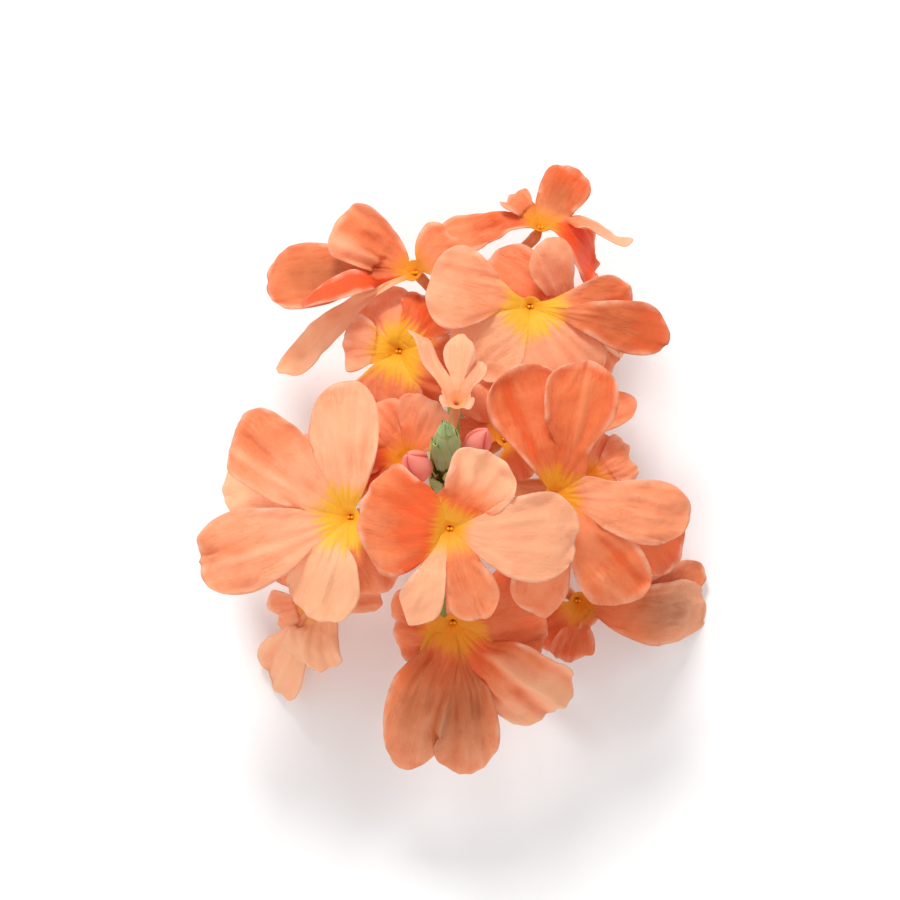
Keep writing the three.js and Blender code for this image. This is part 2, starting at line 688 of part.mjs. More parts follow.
/** Rings of the tube, from under the throat's rim to a closed end at the spike. */
function growTube(shell, flower, rim) {
  const curve = tubeCurve(flower);
  const facing = vector(flower.facing).normalize();
  const throat = vector(flower.at);
  const arm = plus(shell.points[rim[0]], throat, -1);
  let normal = plus(arm, facing, -arm.dot(facing)).normalize();
  const first = { normal: normal.clone(), binormal: facing.clone().cross(normal) };
  const rings = TUBE_STATIONS.map((fraction) => {
    const upward = curve.getTangentAt(fraction).negate();
    normal = plus(normal, upward, -normal.dot(upward)).normalize();
    const binormal = upward.clone().cross(normal);
    const radius = THREE.MathUtils.lerp(TUBE_RADIUS_UNDER_THROAT, TUBE_RADIUS_AT_SPIKE, ease(fraction * 2));
    const centre = curve.getPointAt(fraction);
    return Array.from({ length: TUBE_SIDES }, (_, k) => {
      const angle = (k / TUBE_SIDES) * 2 * Math.PI;
      const point = plus(plus(centre, normal, Math.cos(angle) * radius), binormal, Math.sin(angle) * radius);
      return shell.add(point);
    });
  });

  // The rim has more points than the tube, so the strip between them steps on whichever lags.
  const angleOf = (index) => {
    const spoke = plus(shell.points[index], throat, -1);
    const angle = Math.atan2(spoke.dot(first.binormal), spoke.dot(first.normal));
    return angle < -1e-6 ? angle + 2 * Math.PI : Math.max(0, angle);
  };
  const upper = [...rim.map(angleOf), 2 * Math.PI];
  let i = 0;
  let k = 0;
  while (i < rim.length || k < TUBE_SIDES) {
    const nextUpper = i < rim.length ? upper[i + 1] : Infinity;
    const nextLower = k < TUBE_SIDES ? ((k + 1) / TUBE_SIDES) * 2 * Math.PI : Infinity;
    const a = rim[i % rim.length];
    const b = rings[0][k % TUBE_SIDES];
    if (nextUpper <= nextLower) {
      shell.triangles.push([rim[(i + 1) % rim.length], a, b]);
      i += 1;
    } else {
      shell.triangles.push([b, rings[0][(k + 1) % TUBE_SIDES], a]);
      k += 1;
    }
  }
  for (let station = 1; station < rings.length; station++) {
    for (let side = 0; side < TUBE_SIDES; side++) {
      const next = (side + 1) % TUBE_SIDES;
      const [above, below] = [rings[station - 1], rings[station]];
      shell.quad(below[side], below[next], above[next], above[side]);
    }
  }
  const end = shell.add(curve.getPointAt(1));
  const lowest = rings.at(-1);
  for (let side = 0; side < TUBE_SIDES; side++) {
    shell.triangles.push([end, lowest[(side + 1) % TUBE_SIDES], lowest[side]]);
  }
}

// ---------------------------------------------------------------- buds

/** A closed bud: the five lobes still rolled together, with a pleat between each two. */
function budShell({ foot, tip, radius }) {
  const line = new THREE.LineCurve3(vector(foot), vector(tip));
  const girth = (fraction) => radius * Math.max(0.3, Math.sin(Math.PI * (0.12 + 0.78 * fraction)) ** 0.8);
  return tubeShell(line, 6, 10, girth, (angle) => 1 + 0.09 * Math.cos(5 * angle));
}

// ---------------------------------------------------------------- assembly

function named(name, solid, colour, roughness) {
  const material = new THREE.MeshStandardMaterial({ color: colour, roughness, metalness: 0 });
  const mesh = new THREE.Mesh(geometryFrom(solid), material);
  mesh.name = name;
  return mesh;
}

const head = new THREE.Group();
const keepOut = sprigSolid(CLEARANCE);
head.add(named("sprig", largestPieceAboveFloor(sprigSolid()), BRACT_COLOUR, 0.75));
for (const [name, flower] of Object.entries(FLOWERS)) {
  const whole = solidFrom(flowerShell(flower).geometry());
  head.add(named(name, largestPieceAboveFloor(whole.subtract(keepOut)), flower.colour, 0.6));
}
for (const [name, bud] of Object.entries(BUDS)) {
  const whole = solidFrom(budShell(bud).geometry());
  head.add(named(name, largestPieceAboveFloor(whole.subtract(keepOut)), BUD_COLOUR, 0.55));
}
head.position.set(-CENTRE.x, -CENTRE.y, 0);

export default head;
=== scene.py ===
# %% [markdown]
# # A crossandra flower head, picked and laid down
#
# Crossandra is a house plant with fans of thin salmon-orange petals. Its flowers stand on slender
# tubes that grow out of a spike of green bracts. Here a short forked stem with two such spikes
# lies on a pale table, and the camera looks straight down on it.
#
# The solid model of the head comes in first. It fixes where every flower stands and how large it
# is. Nearly every piece made below takes the place of one of its nodes. Only the anthers are new.

import math

import bpy
import numpy as np
from mathutils import Matrix, Vector


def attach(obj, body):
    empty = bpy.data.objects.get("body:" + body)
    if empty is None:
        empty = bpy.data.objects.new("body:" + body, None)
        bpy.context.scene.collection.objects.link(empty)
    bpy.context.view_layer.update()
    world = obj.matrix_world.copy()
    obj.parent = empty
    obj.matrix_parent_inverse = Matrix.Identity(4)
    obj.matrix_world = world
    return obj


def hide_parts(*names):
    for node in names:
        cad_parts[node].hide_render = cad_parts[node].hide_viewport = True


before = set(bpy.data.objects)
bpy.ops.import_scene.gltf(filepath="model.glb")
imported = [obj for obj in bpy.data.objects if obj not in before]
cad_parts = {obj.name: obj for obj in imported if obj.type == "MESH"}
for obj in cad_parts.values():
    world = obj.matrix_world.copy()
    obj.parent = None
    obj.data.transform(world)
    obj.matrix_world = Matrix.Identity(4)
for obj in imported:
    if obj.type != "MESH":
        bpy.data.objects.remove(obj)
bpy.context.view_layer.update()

# %% [markdown]
# ## Measures
#
# Flowers are easiest to describe in millimetres, so every size below is in millimetres and is
# turned to metres once, where a mesh is made. The flowers were laid out round the throat of the
# middle one, and the finished head is centred on the origin, so one small shift lies between.

# %% Measures and small helpers
MM = 0.001
LAYOUT_CENTRE = np.array([0.39, -0.56, 0.0])


def to_metres(points):
    """Points of the layout, in mm, as points of the frame, in metres."""
    return (np.asarray(points, float) - LAYOUT_CENTRE) * MM


def unit(vectors):
    vectors = np.asarray(vectors, float)
    return vectors / np.linalg.norm(vectors, axis=-1, keepdims=True)


def ease(value):
    t = np.clip(value, 0.0, 1.0)
    return t * t * (3.0 - 2.0 * t)


def mix(a, b, share):
    return a + (b - a) * share


def lattice(x, y, seed):
    """A fixed random number from 0 to 1 for each whole pair x, y."""
    mixed = np.sin(x * 127.1 + y * 311.7 + seed * 74.7) * 43758.5453
    return mixed - np.floor(mixed)


def wander(x, y, seed):
    """Smooth noise from -1 to 1 over a plane, with lumps about one unit wide."""
    x, y = np.broadcast_arrays(np.asarray(x, float), np.asarray(y, float))
    left, low = np.floor(x), np.floor(y)
    right_share, high_share = ease(x - left), ease(y - low)
    lower = mix(lattice(left, low, seed), lattice(left + 1, low, seed), right_share)
    upper = mix(lattice(left, low + 1, seed), lattice(left + 1, low + 1, seed), right_share)
    return 2.0 * mix(lower, upper, high_share) - 1.0


print("middle of the head in the layout, mm:", LAYOUT_CENTRE.tolist())

# %% [markdown]
# ## The flowers, lobe by lobe
#
# A crossandra flower is lopsided: its five lobes spread like an open hand round a small throat.
# Each lobe is told by a few sizes that a florist could read off with a ruler: the direction it
# points in, how far its tip reaches, how far it rises or sinks, and how wide it is. Copying one
# flower sixteen times would show at once, so each has its own lobes.
#
# A plain lobe's other sizes are these, and a lobe of its own kind changes a few of them:
#
# - arch, cup and curl: mm by which its back, its sides and its tip are raised;
# - roll: degrees by which it has turned over at its tip;
# - notch and point: how far the tip is dented, in mm, and how sharp it is, up to 1;
# - widest, full and join: where it is widest, how early it is wide, how long it stays joined;
# - tone: how deep its orange is at foot and tip, from 0 for palest peach to 1 for red-orange, made deeper
#   still as painted shade where a lobe lies in shadow;
# - age and hem: how far it has browned, which is partly real browning with age and partly painted shade, and
#   how much its edge rolls up;
# - folds: creases, each with its start and its end as shares of the length and of half the
#   width, then its height and its half-width in mm.

# %% Describe one lobe
PLAIN_LOBE = {
    "arch": 2, "roll": 0, "cup": 0, "notch": 0, "curl": 0, "widest": 0.68, "join": 0.3, "full": 0,
    "point": 0,
    "tone": (0.4, 0.4), "age": 0.0, "folds": (), "hem": 0.0,
}


def lobe(azimuth, reach, rise, width, **extra):
    """A lobe: direction in degrees, then mm from the throat outwards, upwards and across."""
    return {**PLAIN_LOBE, "azimuth": azimuth, "reach": reach, "rise": rise, "width": width, **extra}


print("sizes that tell a lobe:", sorted(lobe(0, 20, 0, 12)))

# %% [markdown]
# ## Sixteen flowers
#
# A real head opens its flowers over several days, so old and young ones stand side by side and push each
# other about. They could be scattered by chance, but a head is no ball: its flowers stand in a fan, and the
# front ones hide most of those behind. So each is set one by one. at is its throat, facing the way that it
# looks, and from the spike, the height on it as a share, and the angle at which its tube leaves. star is how
# many mm the yellow reaches, and gold how orange the yellow is.

# %% Lay out the sixteen flowers
# Deeper tones and browning on lobes that lie low or in the shade of others are partly painted shade.
FLOWERS = {
    "front": {
        "at": (-0.2, -10.5, 50), "facing": (0, -0.15, 1), "star": 2.2, "gold": 0.5,
        "from": ("front", 0.48, -90),
        "lobes": [
            lobe(171, 15.6, -3.5, 20, arch=1.8, cup=-1, widest=0.6, full=1.5, join=0.35, tone=(0.93, 0.58),
                 folds=[(0.15, 0.5, 0.75, 0.75, 0.5, 1.4), (0.25, -0.3, 0.95, -0.45, -0.5, 1.3)]),
            lobe(58, 14.7, 1.5, 13.6, arch=1, cup=1.5, curl=2, full=0.8, tone=(0.9, -0.05), hem=1.2,
                 folds=[(0.45, 0.2, 0.95, 0.5, 0.7, 1.2), (0.4, -0.3, 0.9, -0.4, -0.5, 1.0)]),
            lobe(-3, 22.8, -4, 16, arch=3, notch=0.5, widest=0.6, full=1, tone=(0.2, 0.1),
                 folds=[(0.2, 0.3, 0.7, 0.45, 0.25, 0.7), (0.25, -0.1, 0.6, -0.05, -0.2, 0.6)]),
            lobe(289, 16.3, -3.5, 9.3, arch=1.5, full=0.8, tone=(0.6, 0.5)),
            lobe(247, 18.4, -3.5, 7.8, arch=2.6, point=0.7, tone=(0.12, 0.08)),
        ],
    },
    "left": {
        "at": (-17.7, -8.4, 42), "facing": (-0.15, 0, 1), "star": 4.4,
        "from": ("front", 0.33, -150),
        "lobes": [
            lobe(91, 23.6, -3, 12.4, arch=3, widest=0.6, full=1.1, join=0.6, tone=(0.15, 0.3),
                 folds=[(0.3, -0.35, 0.9, -0.45, 0.35, 0.8)]),
            lobe(141.3, 25.2, -4, 14.6, arch=3, roll=-15, cup=1, widest=0.75, full=1.1,
                 tone=(0.25, 0.52),
                 folds=[(0.25, 0.35, 0.95, 0.55, 0.6, 0.9), (0.6, 0.1, 0.95, 0.0, -0.4, 1.0)]),
            lobe(198.2, 27.9, -5, 14.8, arch=3, notch=0.8, widest=0.68, full=0.9, join=0.35,
                 tone=(0.2, 0.38),
                 folds=[(0.35, 0.0, 0.95, -0.25, -0.35, 0.6), (0.3, 0.25, 0.9, 0.1, 0.3, 0.7)]),
            lobe(250, 18.3, -3, 13.2, full=1, tone=(-0.08, 0.02),
                 folds=[(0.3, 0.2, 1.0, -0.1, 0.5, 1.1)]),
            lobe(295, 14.2, -3, 9.8, arch=1, full=1.6, tone=(0.55, 0.5)),
        ],
    },
    "right": {
        "at": (18.1, -4.6, 42), "facing": (0.1, -0.1, 1), "star": 3.6, "gold": 0.45,
        "from": ("front", 0.33, -30),
        "lobes": [
            lobe(107, 23.8, 3.5, 14.5, arch=-0.5, cup=1, widest=0.72, full=0.5, tone=(0.7, 0.65),
                 hem=0.7, folds=[(0.2, 0.3, 0.9, 0.35, -0.5, 1.1)]),
            lobe(76, 24.3, 6, 13.7, arch=1, cup=1.5, widest=0.72, full=0.3, join=0.45, tone=(0.7, 0.7),
                 hem=0.5, folds=[(0.2, -0.2, 0.9, -0.1, 0.5, 1.0), (0.7, 0.5, 0.95, 0.2, 0.4, 0.5)]),
            lobe(-9.5, 24.3, -3, 11.4, full=1, tone=(0.35, 0.45),
                 folds=[(0.35, 0.1, 0.75, -0.2, 0.3, 0.6), (0.45, 0.5, 0.8, 0.3, 0.3, 0.5)]),
            lobe(-53, 22.4, -8, 13, arch=3, cup=1, full=0.7, tone=(0.55, 0.62), hem=1.0,
                 folds=[(0.3, 0.3, 0.9, 0.5, -0.6, 1.0), (0.5, -0.4, 1.0, -0.2, 0.5, 1.0)]),
            lobe(260, 20.9, -8, 10.2, full=0.8, tone=(0.45, 0.5)),
        ],
    },
    "low": {
        "at": (0.35, -27.2, 31), "facing": (0, -0.35, 1), "star": 3.6, "gold": 0.9,
        "from": ("front", 0.14, -95),
        "lobes": [
            lobe(250.5, 26.8, -13, 14.4, arch=3, widest=0.45, join=0.85, full=3.5, point=0.4,
                 tone=(0.74, 0.4), age=0.65,
                 folds=[(0.3, 1.0, 1.0, 1.0, 1.1, 0.7), (0.4, 0.5, 0.9, 0.3, 0.4, 1.0),
                        (0.5, 0.75, 0.95, 0.8, -0.5, 0.5)]),
            lobe(274.5, 27.3, -13.5, 14.2, arch=3, widest=0.6, full=1, point=0.4,
                 tone=(0.74, 0.4), age=0.8,
                 folds=[(0.3, -1.0, 1.0, -1.0, 1.1, 0.7), (0.3, -0.5, 0.9, -0.2, -0.4, 0.9),
                        (0.6, 0.3, 0.95, 0.5, 0.4, 0.7)]),
            lobe(323.5, 24.4, -11, 14, arch=3, notch=2, widest=0.72, full=1.8, tone=(0.85, 0.02), hem=1.4,
                 folds=[(0.15, 0.25, 1.0, 0.05, 2.2, 1.2), (0.45, -0.2, 1.0, -0.5, -1.2, 1.0),
                        (0.4, 0.8, 1.0, 0.6, -0.8, 1.2)]),
            lobe(179, 10.8, -2, 14, arch=1, full=1, tone=(0.75, 0.62), age=0.1),
            lobe(13, 16, -2, 18.5, arch=1.5, full=1.3, tone=(0.75, 0.62), age=0.1),
        ],
    },
    "low_right": {
        "at": (22.5, -23.3, 18), "facing": (0.3, -0.2, 1), "star": 2.0, "gold": 0.9,
        "from": ("front", 0.05, -40),
        "lobes": [
            lobe(-4.3, 22.6, -18.7, 12.2, arch=5, widest=0.6, full=1.8, tone=(0.7, 0.2), age=0.8,
                 folds=[(0.6, 0.1, 0.95, 0.3, 0.3, 0.6)]),
            lobe(12, 23, -16, 8, tone=(0.7, 0.6), age=0.8),
            lobe(205, 10.5, -4, 11, arch=1, full=1, tone=(0.8, 0.7), age=0.3),
            lobe(258, 10, -4, 8.4, arch=1, full=0.6, tone=(0.8, 0.7), age=0.4),
            lobe(300, 5, -2, 6, arch=1, join=0.15, tone=(0.8, 0.7), age=0.4),
        ],
    },
    "low_left": {
        "at": (-23.2, -23, 18), "facing": (-0.4, -0.3, 1), "star": 2.0, "gold": 0.5,
        "from": ("front", 0.05, -140),
        "lobes": [
            lobe(243.5, 17.3, -18.7, 11, arch=2.2, roll=20, full=0.3, tone=(0.1, 0.0),
                 folds=[(0.3, 0.2, 1.0, 0.1, 0.8, 0.9), (0.3, -0.5, 1.0, -0.5, -0.5, 0.7)]),
            lobe(268, 12, -3, 10.5, arch=4, cup=-1.5, full=2, tone=(-0.4, -0.3), hem=0.6,
                 folds=[(0.3, -0.3, 0.95, -0.15, 0.8, 0.7), (0.3, 0.35, 0.95, 0.5, -0.7, 0.7)]),
            lobe(194, 8.6, -4, 8, tone=(0.35, 0.4)),
            lobe(125, 12, -3, 9, arch=1),
            lobe(2, 10.6, -1, 5, arch=1, tone=(0.3, 0.2)),
        ],
    },
    "left_back": {
        "at": (-21.9, -4, 27), "facing": (-0.5, 0.2, 1), "star": 2.0, "gold": 0.5,
        "from": ("front", 0.2, -175),
        "lobes": [
            lobe(174, 17.4, -8, 12.6, arch=3, full=0.8, tone=(0.22, -0.1)),
            lobe(222, 11, -5, 9, arch=1, tone=(0.5, 0.4)),
            lobe(115, 11, -3, 10, arch=1, tone=(0.5, 0.4)),
            lobe(270, 9, -2, 9, arch=1, tone=(0.5, 0.4)),
            lobe(52, 11.5, -1, 9, arch=1, tone=(0.7, 0.7)),
        ],
    },
    "young": {
        "at": (1.05, 12.1, 43), "facing": (0, 0.5, 0.9), "star": 0,
        "from": ("front", 0.7, 80),
        "lobes": [
            lobe(87, 11.8, -1, 5.8, arch=1.5, widest=0.6, point=0.5, tone=(0.05, 0.05)),
            lobe(124, 15, -2, 4.2, arch=1, roll=60, tone=(0.1, 0.1)),
            lobe(58, 7.6, -1.5, 4.6, arch=1, tone=(0.2, 0.2)),
            lobe(190, 2.9, 1, 2.6, arch=0.5, tone=(0.2, 0.2)),
            lobe(-20, 2.9, 1, 2.6, arch=0.5, tone=(0.3, 0.2)),
        ],
    },
    "behind": {
        "at": (-8, 1.5, 31.5), "facing": (-0.2, 0.5, 0.9), "star": 1.6, "gold": 0.8,
        "from": ("front", 0.36, 150),
        "lobes": [
            lobe(62, 11.6, 2.5, 12, cup=1, full=0.6, tone=(0.6, 0.2), hem=1.0),
            lobe(128, 11.5, -1.5, 11, arch=1, tone=(0.55, 0.4)),
            lobe(175, 10.5, -1, 10.5, arch=1, full=0.6, tone=(0.85, 0.75)),
            lobe(212, 9, 1, 8, arch=0.5, tone=(0.85, 0.75)),
            lobe(246, 4.5, -1.5, 5, arch=0.5, tone=(0.85, 0.75)),
        ],
    },
    "behind_right": {
        "at": (9.6, 5.5, 34), "facing": (0.2, 0.4, 0.9), "star": 1.6, "gold": 0.8,
        "from": ("front", 0.42, 30),
        "lobes": [
            lobe(120, 11.2, 0.2, 10.5, arch=1.6, full=0.5, tone=(0.5, 0.4)),
            lobe(172, 8.4, 0, 8, arch=1, full=0.4, tone=(0.6, 0.5)),
            lobe(72, 10, -2, 9, arch=1, tone=(0.5, 0.5)),
            lobe(15, 23.8, -6, 7.4, arch=1, tone=(0.5, 0.55)),
            lobe(-66, 7.8, -1.2, 11, arch=0.5, full=1.5, tone=(0.6, 0.5)),
        ],
    },
    "right_back": {
        "at": (23.7, -2, 27), "facing": (0.5, 0.2, 0.9), "star": 2.0, "gold": 0.8,
        "from": ("front", 0.2, 10),
        "lobes": [
            lobe(80, 9, -1, 8, arch=1, tone=(0.3, 0.3)),
            lobe(32, 9.2, -3, 9, arch=3, tone=(0.35, 0.45)),
            lobe(-42, 21.5, -9, 13.5, arch=3, tone=(0.75, 0.8), age=0.75),
            lobe(150, 10, 0, 8),
            lobe(235, 8, -1, 8, tone=(0.7, 0.7)),
        ],
    },
    "upper_right": {
        "at": (14, 28.4, 36), "facing": (0.1, 0, 1), "star": 4, "gold": 0.1,
        "from": ("back", 0.6, -10),
        "lobes": [
            lobe(166, 18.5, 3, 15, arch=1.5, tone=(0.45, 0.3)),
            lobe(221, 15.6, -1, 13.5, arch=1, full=0.9, join=0.55, tone=(0.0, 0.0),
                 folds=[(0.2, 0.2, 0.9, 0.1, 0.4, 1.0)]),
            lobe(300, 17, -2, 15.5, arch=1.5, full=0.8, tone=(0.25, 0.25),
                 folds=[(0.1, -0.1, 0.75, -0.15, 0.35, 0.8)]),
            lobe(-11.7, 24.8, -5.5, 9.4, arch=3.6, full=0.4, tone=(0.6, 0.8), age=0.6),
            lobe(5, 17.6, -5, 8.8, arch=1.2, tone=(0.5, 0.7), age=0.4),
        ],
    },
    "upper_left": {
        "at": (-9.3, 20.5, 29), "facing": (-0.1, -0.1, 1), "star": 3.4, "gold": 0.0,
        "from": ("back", 0.45, -150),
        "lobes": [
            lobe(167, 9.8, 0, 10.5, arch=1.4, tone=(0.3, 0.3)),
            lobe(258, 11, -2, 13.5, arch=1, full=1, tone=(0.5, 0.45)),
            lobe(339, 12.6, -1.5, 14.4, arch=1, full=0.8, tone=(0.6, 0.6)),
            lobe(52, 11.4, -3.8, 11, full=0.8, join=0.5, tone=(0.75, 0.8)),
            lobe(106, 11.4, -6.5, 10.2, arch=0.6, full=0.8, tone=(0.4, 0.5)),
        ],
    },
    "far_left": {
        "at": (-6.7, 34.6, 31), "facing": (-0.45, 0.25, 0.85), "star": 1.4, "gold": 0.8,
        "from": ("back", 0.35, 170),
        "lobes": [
            lobe(146, 16.2, 1.8, 10.8, arch=2.2, cup=1, widest=0.75, full=1.4, tone=(0.6, 0.5),
                 folds=[(0.2, 0.5, 0.95, 0.6, 0.7, 1.2), (0.3, -0.2, 0.9, 0.0, -0.5, 1.2)]),
            lobe(184, 26, -9, 12.4, arch=3, full=0.8, tone=(0.7, 0.62), age=0.85),
            lobe(198, 19.5, 0.5, 7, arch=5, roll=35, full=0.4, tone=(1.05, 1.05)),
            lobe(216, 29.5, -14, 6.4, arch=-2.5, tone=(-0.4, -0.35)),
            lobe(27, 9.4, -1, 12.5, full=1.2, tone=(0.6, 0.6)),
        ],
    },
    "far_right": {
        "at": (15.8, 43, 24), "facing": (0.1, 0.7, 0.7), "star": 1.4, "gold": 0.8,
        "from": ("back", 0.2, 75),
        "lobes": [
            lobe(56, 11.4, -2, 9.5, arch=1, full=1.6, tone=(0.5, 0.85), age=0.8),
            lobe(-13, 16.1, -2, 6.4, arch=1, roll=-35, tone=(0.6, 0.1)),
            lobe(190.5, 20.5, -1, 10.5, arch=-1, roll=15, full=0.5, tone=(0.75, 0.5), age=0.2),
            lobe(-42, 12.6, -5.5, 12.5, arch=1, full=0.8, tone=(1.1, 1.1), age=0.15),
            lobe(143, 7.9, -1, 7, tone=(0.6, 0.6)),
        ],
    },
    "right_hidden": {
        "at": (20.2, 26.7, 23), "facing": (0.5, 0, 0.9), "star": 1.5, "gold": 0.6,
        "from": ("back", 0.2, 0),
        "lobes": [
            lobe(109, 14, 8, 9.2, full=0.4, tone=(0.4, 0.3)),
            lobe(-24, 12.9, -5, 6.5, tone=(0.3, 0.1)),
            lobe(30, 7.4, -9, 6.5, arch=0.5, tone=(0.5, 0.5)),
            lobe(142, 17, 3, 11, full=0.7, tone=(0.6, 0.5)),
            lobe(-57, 13, -3, 9, tone=(0.5, 0.5)),
        ],
    },
}
print("flowers:", len(FLOWERS), "lobes:", sum(len(flower["lobes"]) for flower in FLOWERS.values()))

# %% [markdown]
# ## The middle surface of a lobe
#
# A petal could be sculpted by hand, or cut from a plane and bent by modifiers. Here a formula is
# better, because eighty lobes follow one rule. A curve, the spine, runs from the throat to the
# tip. Ribs lie across it, short at the foot and longest at about two thirds of the way, and past
# that point the grid bends round into the lobe's round end.

# %% Curves
CURVE_STEPS = 200
HEADING_STEP = 0.004  # share of a curve's length, either way, over which its heading is taken


def bezier(controls):
    """A cubic curve as points, with the fraction of the length at each, and the length."""
    a, b, c, d = [np.asarray(point, float) for point in controls]
    t = np.linspace(0.0, 1.0, CURVE_STEPS + 1)[:, None]
    points = a * (1 - t) ** 3 + b * 3 * t * (1 - t) ** 2 + c * 3 * t * t * (1 - t) + d * t ** 3
    steps = np.linalg.norm(np.diff(points, axis=0), axis=1)
    travelled = np.concatenate([[0.0], np.cumsum(steps)])
    return points, travelled / travelled[-1], travelled[-1]


def on_curve(curve, fraction):
    points, fractions, _ = curve
    return np.stack([np.interp(fraction, fractions, points[:, k]) for k in range(3)], axis=-1)


def heading(curve, fraction):
    ahead = on_curve(curve, np.minimum(fraction + HEADING_STEP, 1.0))
    return unit(ahead - on_curve(curve, np.maximum(fraction - HEADING_STEP, 0.0)))


bow = bezier([(0, 0, 0), (0, 10, 0), (20, 10, 0), (20, 0, 0)])
print("a bow 20 mm wide and 7.5 mm high is", round(bow[2], 2), "mm long")

# %% [markdown]
# ### Folds
#
# Old petals crease as they lie on each other. A fold is a soft ridge or dip along a straight
# line, told by its two ends. It fades in over its first third and out just past its end.

# %% Folds in a lobe
def fold_height(petal, along_mm, across_mm, length):
    """Height in mm that the lobe's creases add at each point."""
    height = np.zeros_like(along_mm)
    half = petal["width"] / 2
    for along0, across0, along1, across1, rise, spread in petal["folds"]:
        start = np.array([along0 * length, across0 * half])
        line = np.array([along1 * length, across1 * half]) - start
        share = ((along_mm - start[0]) * line[0] + (across_mm - start[1]) * line[1]) / (line @ line)
        near = np.clip(share, 0.0, 1.0)
        away = np.hypot(along_mm - start[0] - near * line[0], across_mm - start[1] - near * line[1])
        height += rise * np.exp(-((away / spread) ** 2)) * ease(share * 3) * ease((1.15 - share) * 4)
    return height


one_fold = {"width": 12, "folds": [(0.2, 0, 0.9, 0, 0.5, 1.0)]}
print("a fold's height half way along it, mm:", fold_height(one_fold, np.array([11.0]), np.array([0.0]), 20))

# %% [markdown]
# ### Spine, outline and width
#
# The spine leaves the throat along the flower's face, rises over the arch and comes down to the
# tip. A square grid would give the lobe corners, so past its widest place the grid's rows bend
# round, and its last row and its sides make one smooth round end.

# %% Spine, outline and width of a lobe
THROAT_RADIUS = 1.7
LEAVE_SHARE, ARRIVE_SHARE, BOW_SHARE = 0.28, 0.68, 0.165  # pulls on the spine, as shares of its span
ARCH_EARLY, ARCH_LATE = 0.4, 1.2  # how strongly the arch pulls on the spine's two halves
ROWS = 44
COLUMNS = 28
EDGE_WOBBLE = 0.035  # share of the width by which a free edge wanders in and out
TIP_WOBBLE = 0.018  # share of the length by which the tip does
NOTCH_WIDTH = 0.25  # share of half the width
WIDEST_FOOT = 0.8  # share of the width that a lobe can have at the throat


def lobe_spine(flower, petal):
    """The curve down the middle of a lobe, from the throat's rim to the tip."""
    throat = np.array(flower["at"], float)
    facing = unit(flower["facing"])
    azimuth = math.radians(petal["azimuth"])
    run = np.array([petal["reach"] * math.cos(azimuth), petal["reach"] * math.sin(azimuth), petal["rise"]])
    out = unit(run - facing * (run @ facing))
    foot = throat + THROAT_RADIUS * out
    tip = throat + run
    span = np.linalg.norm(tip - foot)
    leave = foot + LEAVE_SHARE * span * out + (BOW_SHARE * span + ARCH_EARLY * petal["arch"]) * facing
    arrive = mix(foot, tip, ARRIVE_SHARE) + ARCH_LATE * petal["arch"] * facing
    return bezier([foot, leave, arrive, tip])


def lobe_outline(petal, length, seed):
    """The grid's points as shares of the length and of half the width, and their rows and columns."""
    u, v = np.meshgrid(np.linspace(0, 1, ROWS + 1), np.linspace(-1, 1, COLUMNS + 1), indexing="ij")
    widest = petal["widest"]
    t = np.clip((u - widest) / (1 - widest), 0, 1)
    across = v * np.sqrt(1 - t * t / 2)
    along = np.where(u <= widest, u, widest + (1 - widest) * t * np.sqrt(1 - v * v * t * (2 - t) / 2))
    ending = np.clip((along - widest) / (1 - widest), 0, 1)
    across = across * (1 - petal["point"] * ending ** 2)
    along = along - petal["notch"] / length * np.exp(-((across / NOTCH_WIDTH) ** 2)) * ease(t)
    along = along + TIP_WOBBLE * wander(across * 2.6 + 9, seed, seed) * ease(t)
    return along, across, u, v


def half_width(petal, along, v, sector, seed):
    """Half the lobe's width in mm at each point. sector is the lobe's share of the throat in degrees."""
    opened = np.clip(along / (petal["widest"] * 1.05), 0, 1)
    share, power = min(1, petal["full"]), 1 / max(1, petal["full"])
    swell = (1 - share) * ease(opened) + share * np.sin(opened * math.pi / 2) ** power
    rim = 2 * THROAT_RADIUS * math.tan(math.radians(sector / 2))
    foot_share = min(WIDEST_FOOT, rim / petal["width"])
    half = petal["width"] / 2 * (foot_share + (1 - foot_share) * swell)
    return half * (1 + EDGE_WOBBLE * wander(along * 5, np.sign(v) * 3 + seed, seed) * ease(along * 2))


print("points in one lobe:", (ROWS + 1) * (COLUMNS + 1))

# %% [markdown]
# ### One lobe
#
# Spine and outline meet here. Beside each point's place the grid carries what the finish will
# read there: distances in mm along the lobe, across it and from its edge, and its colours.

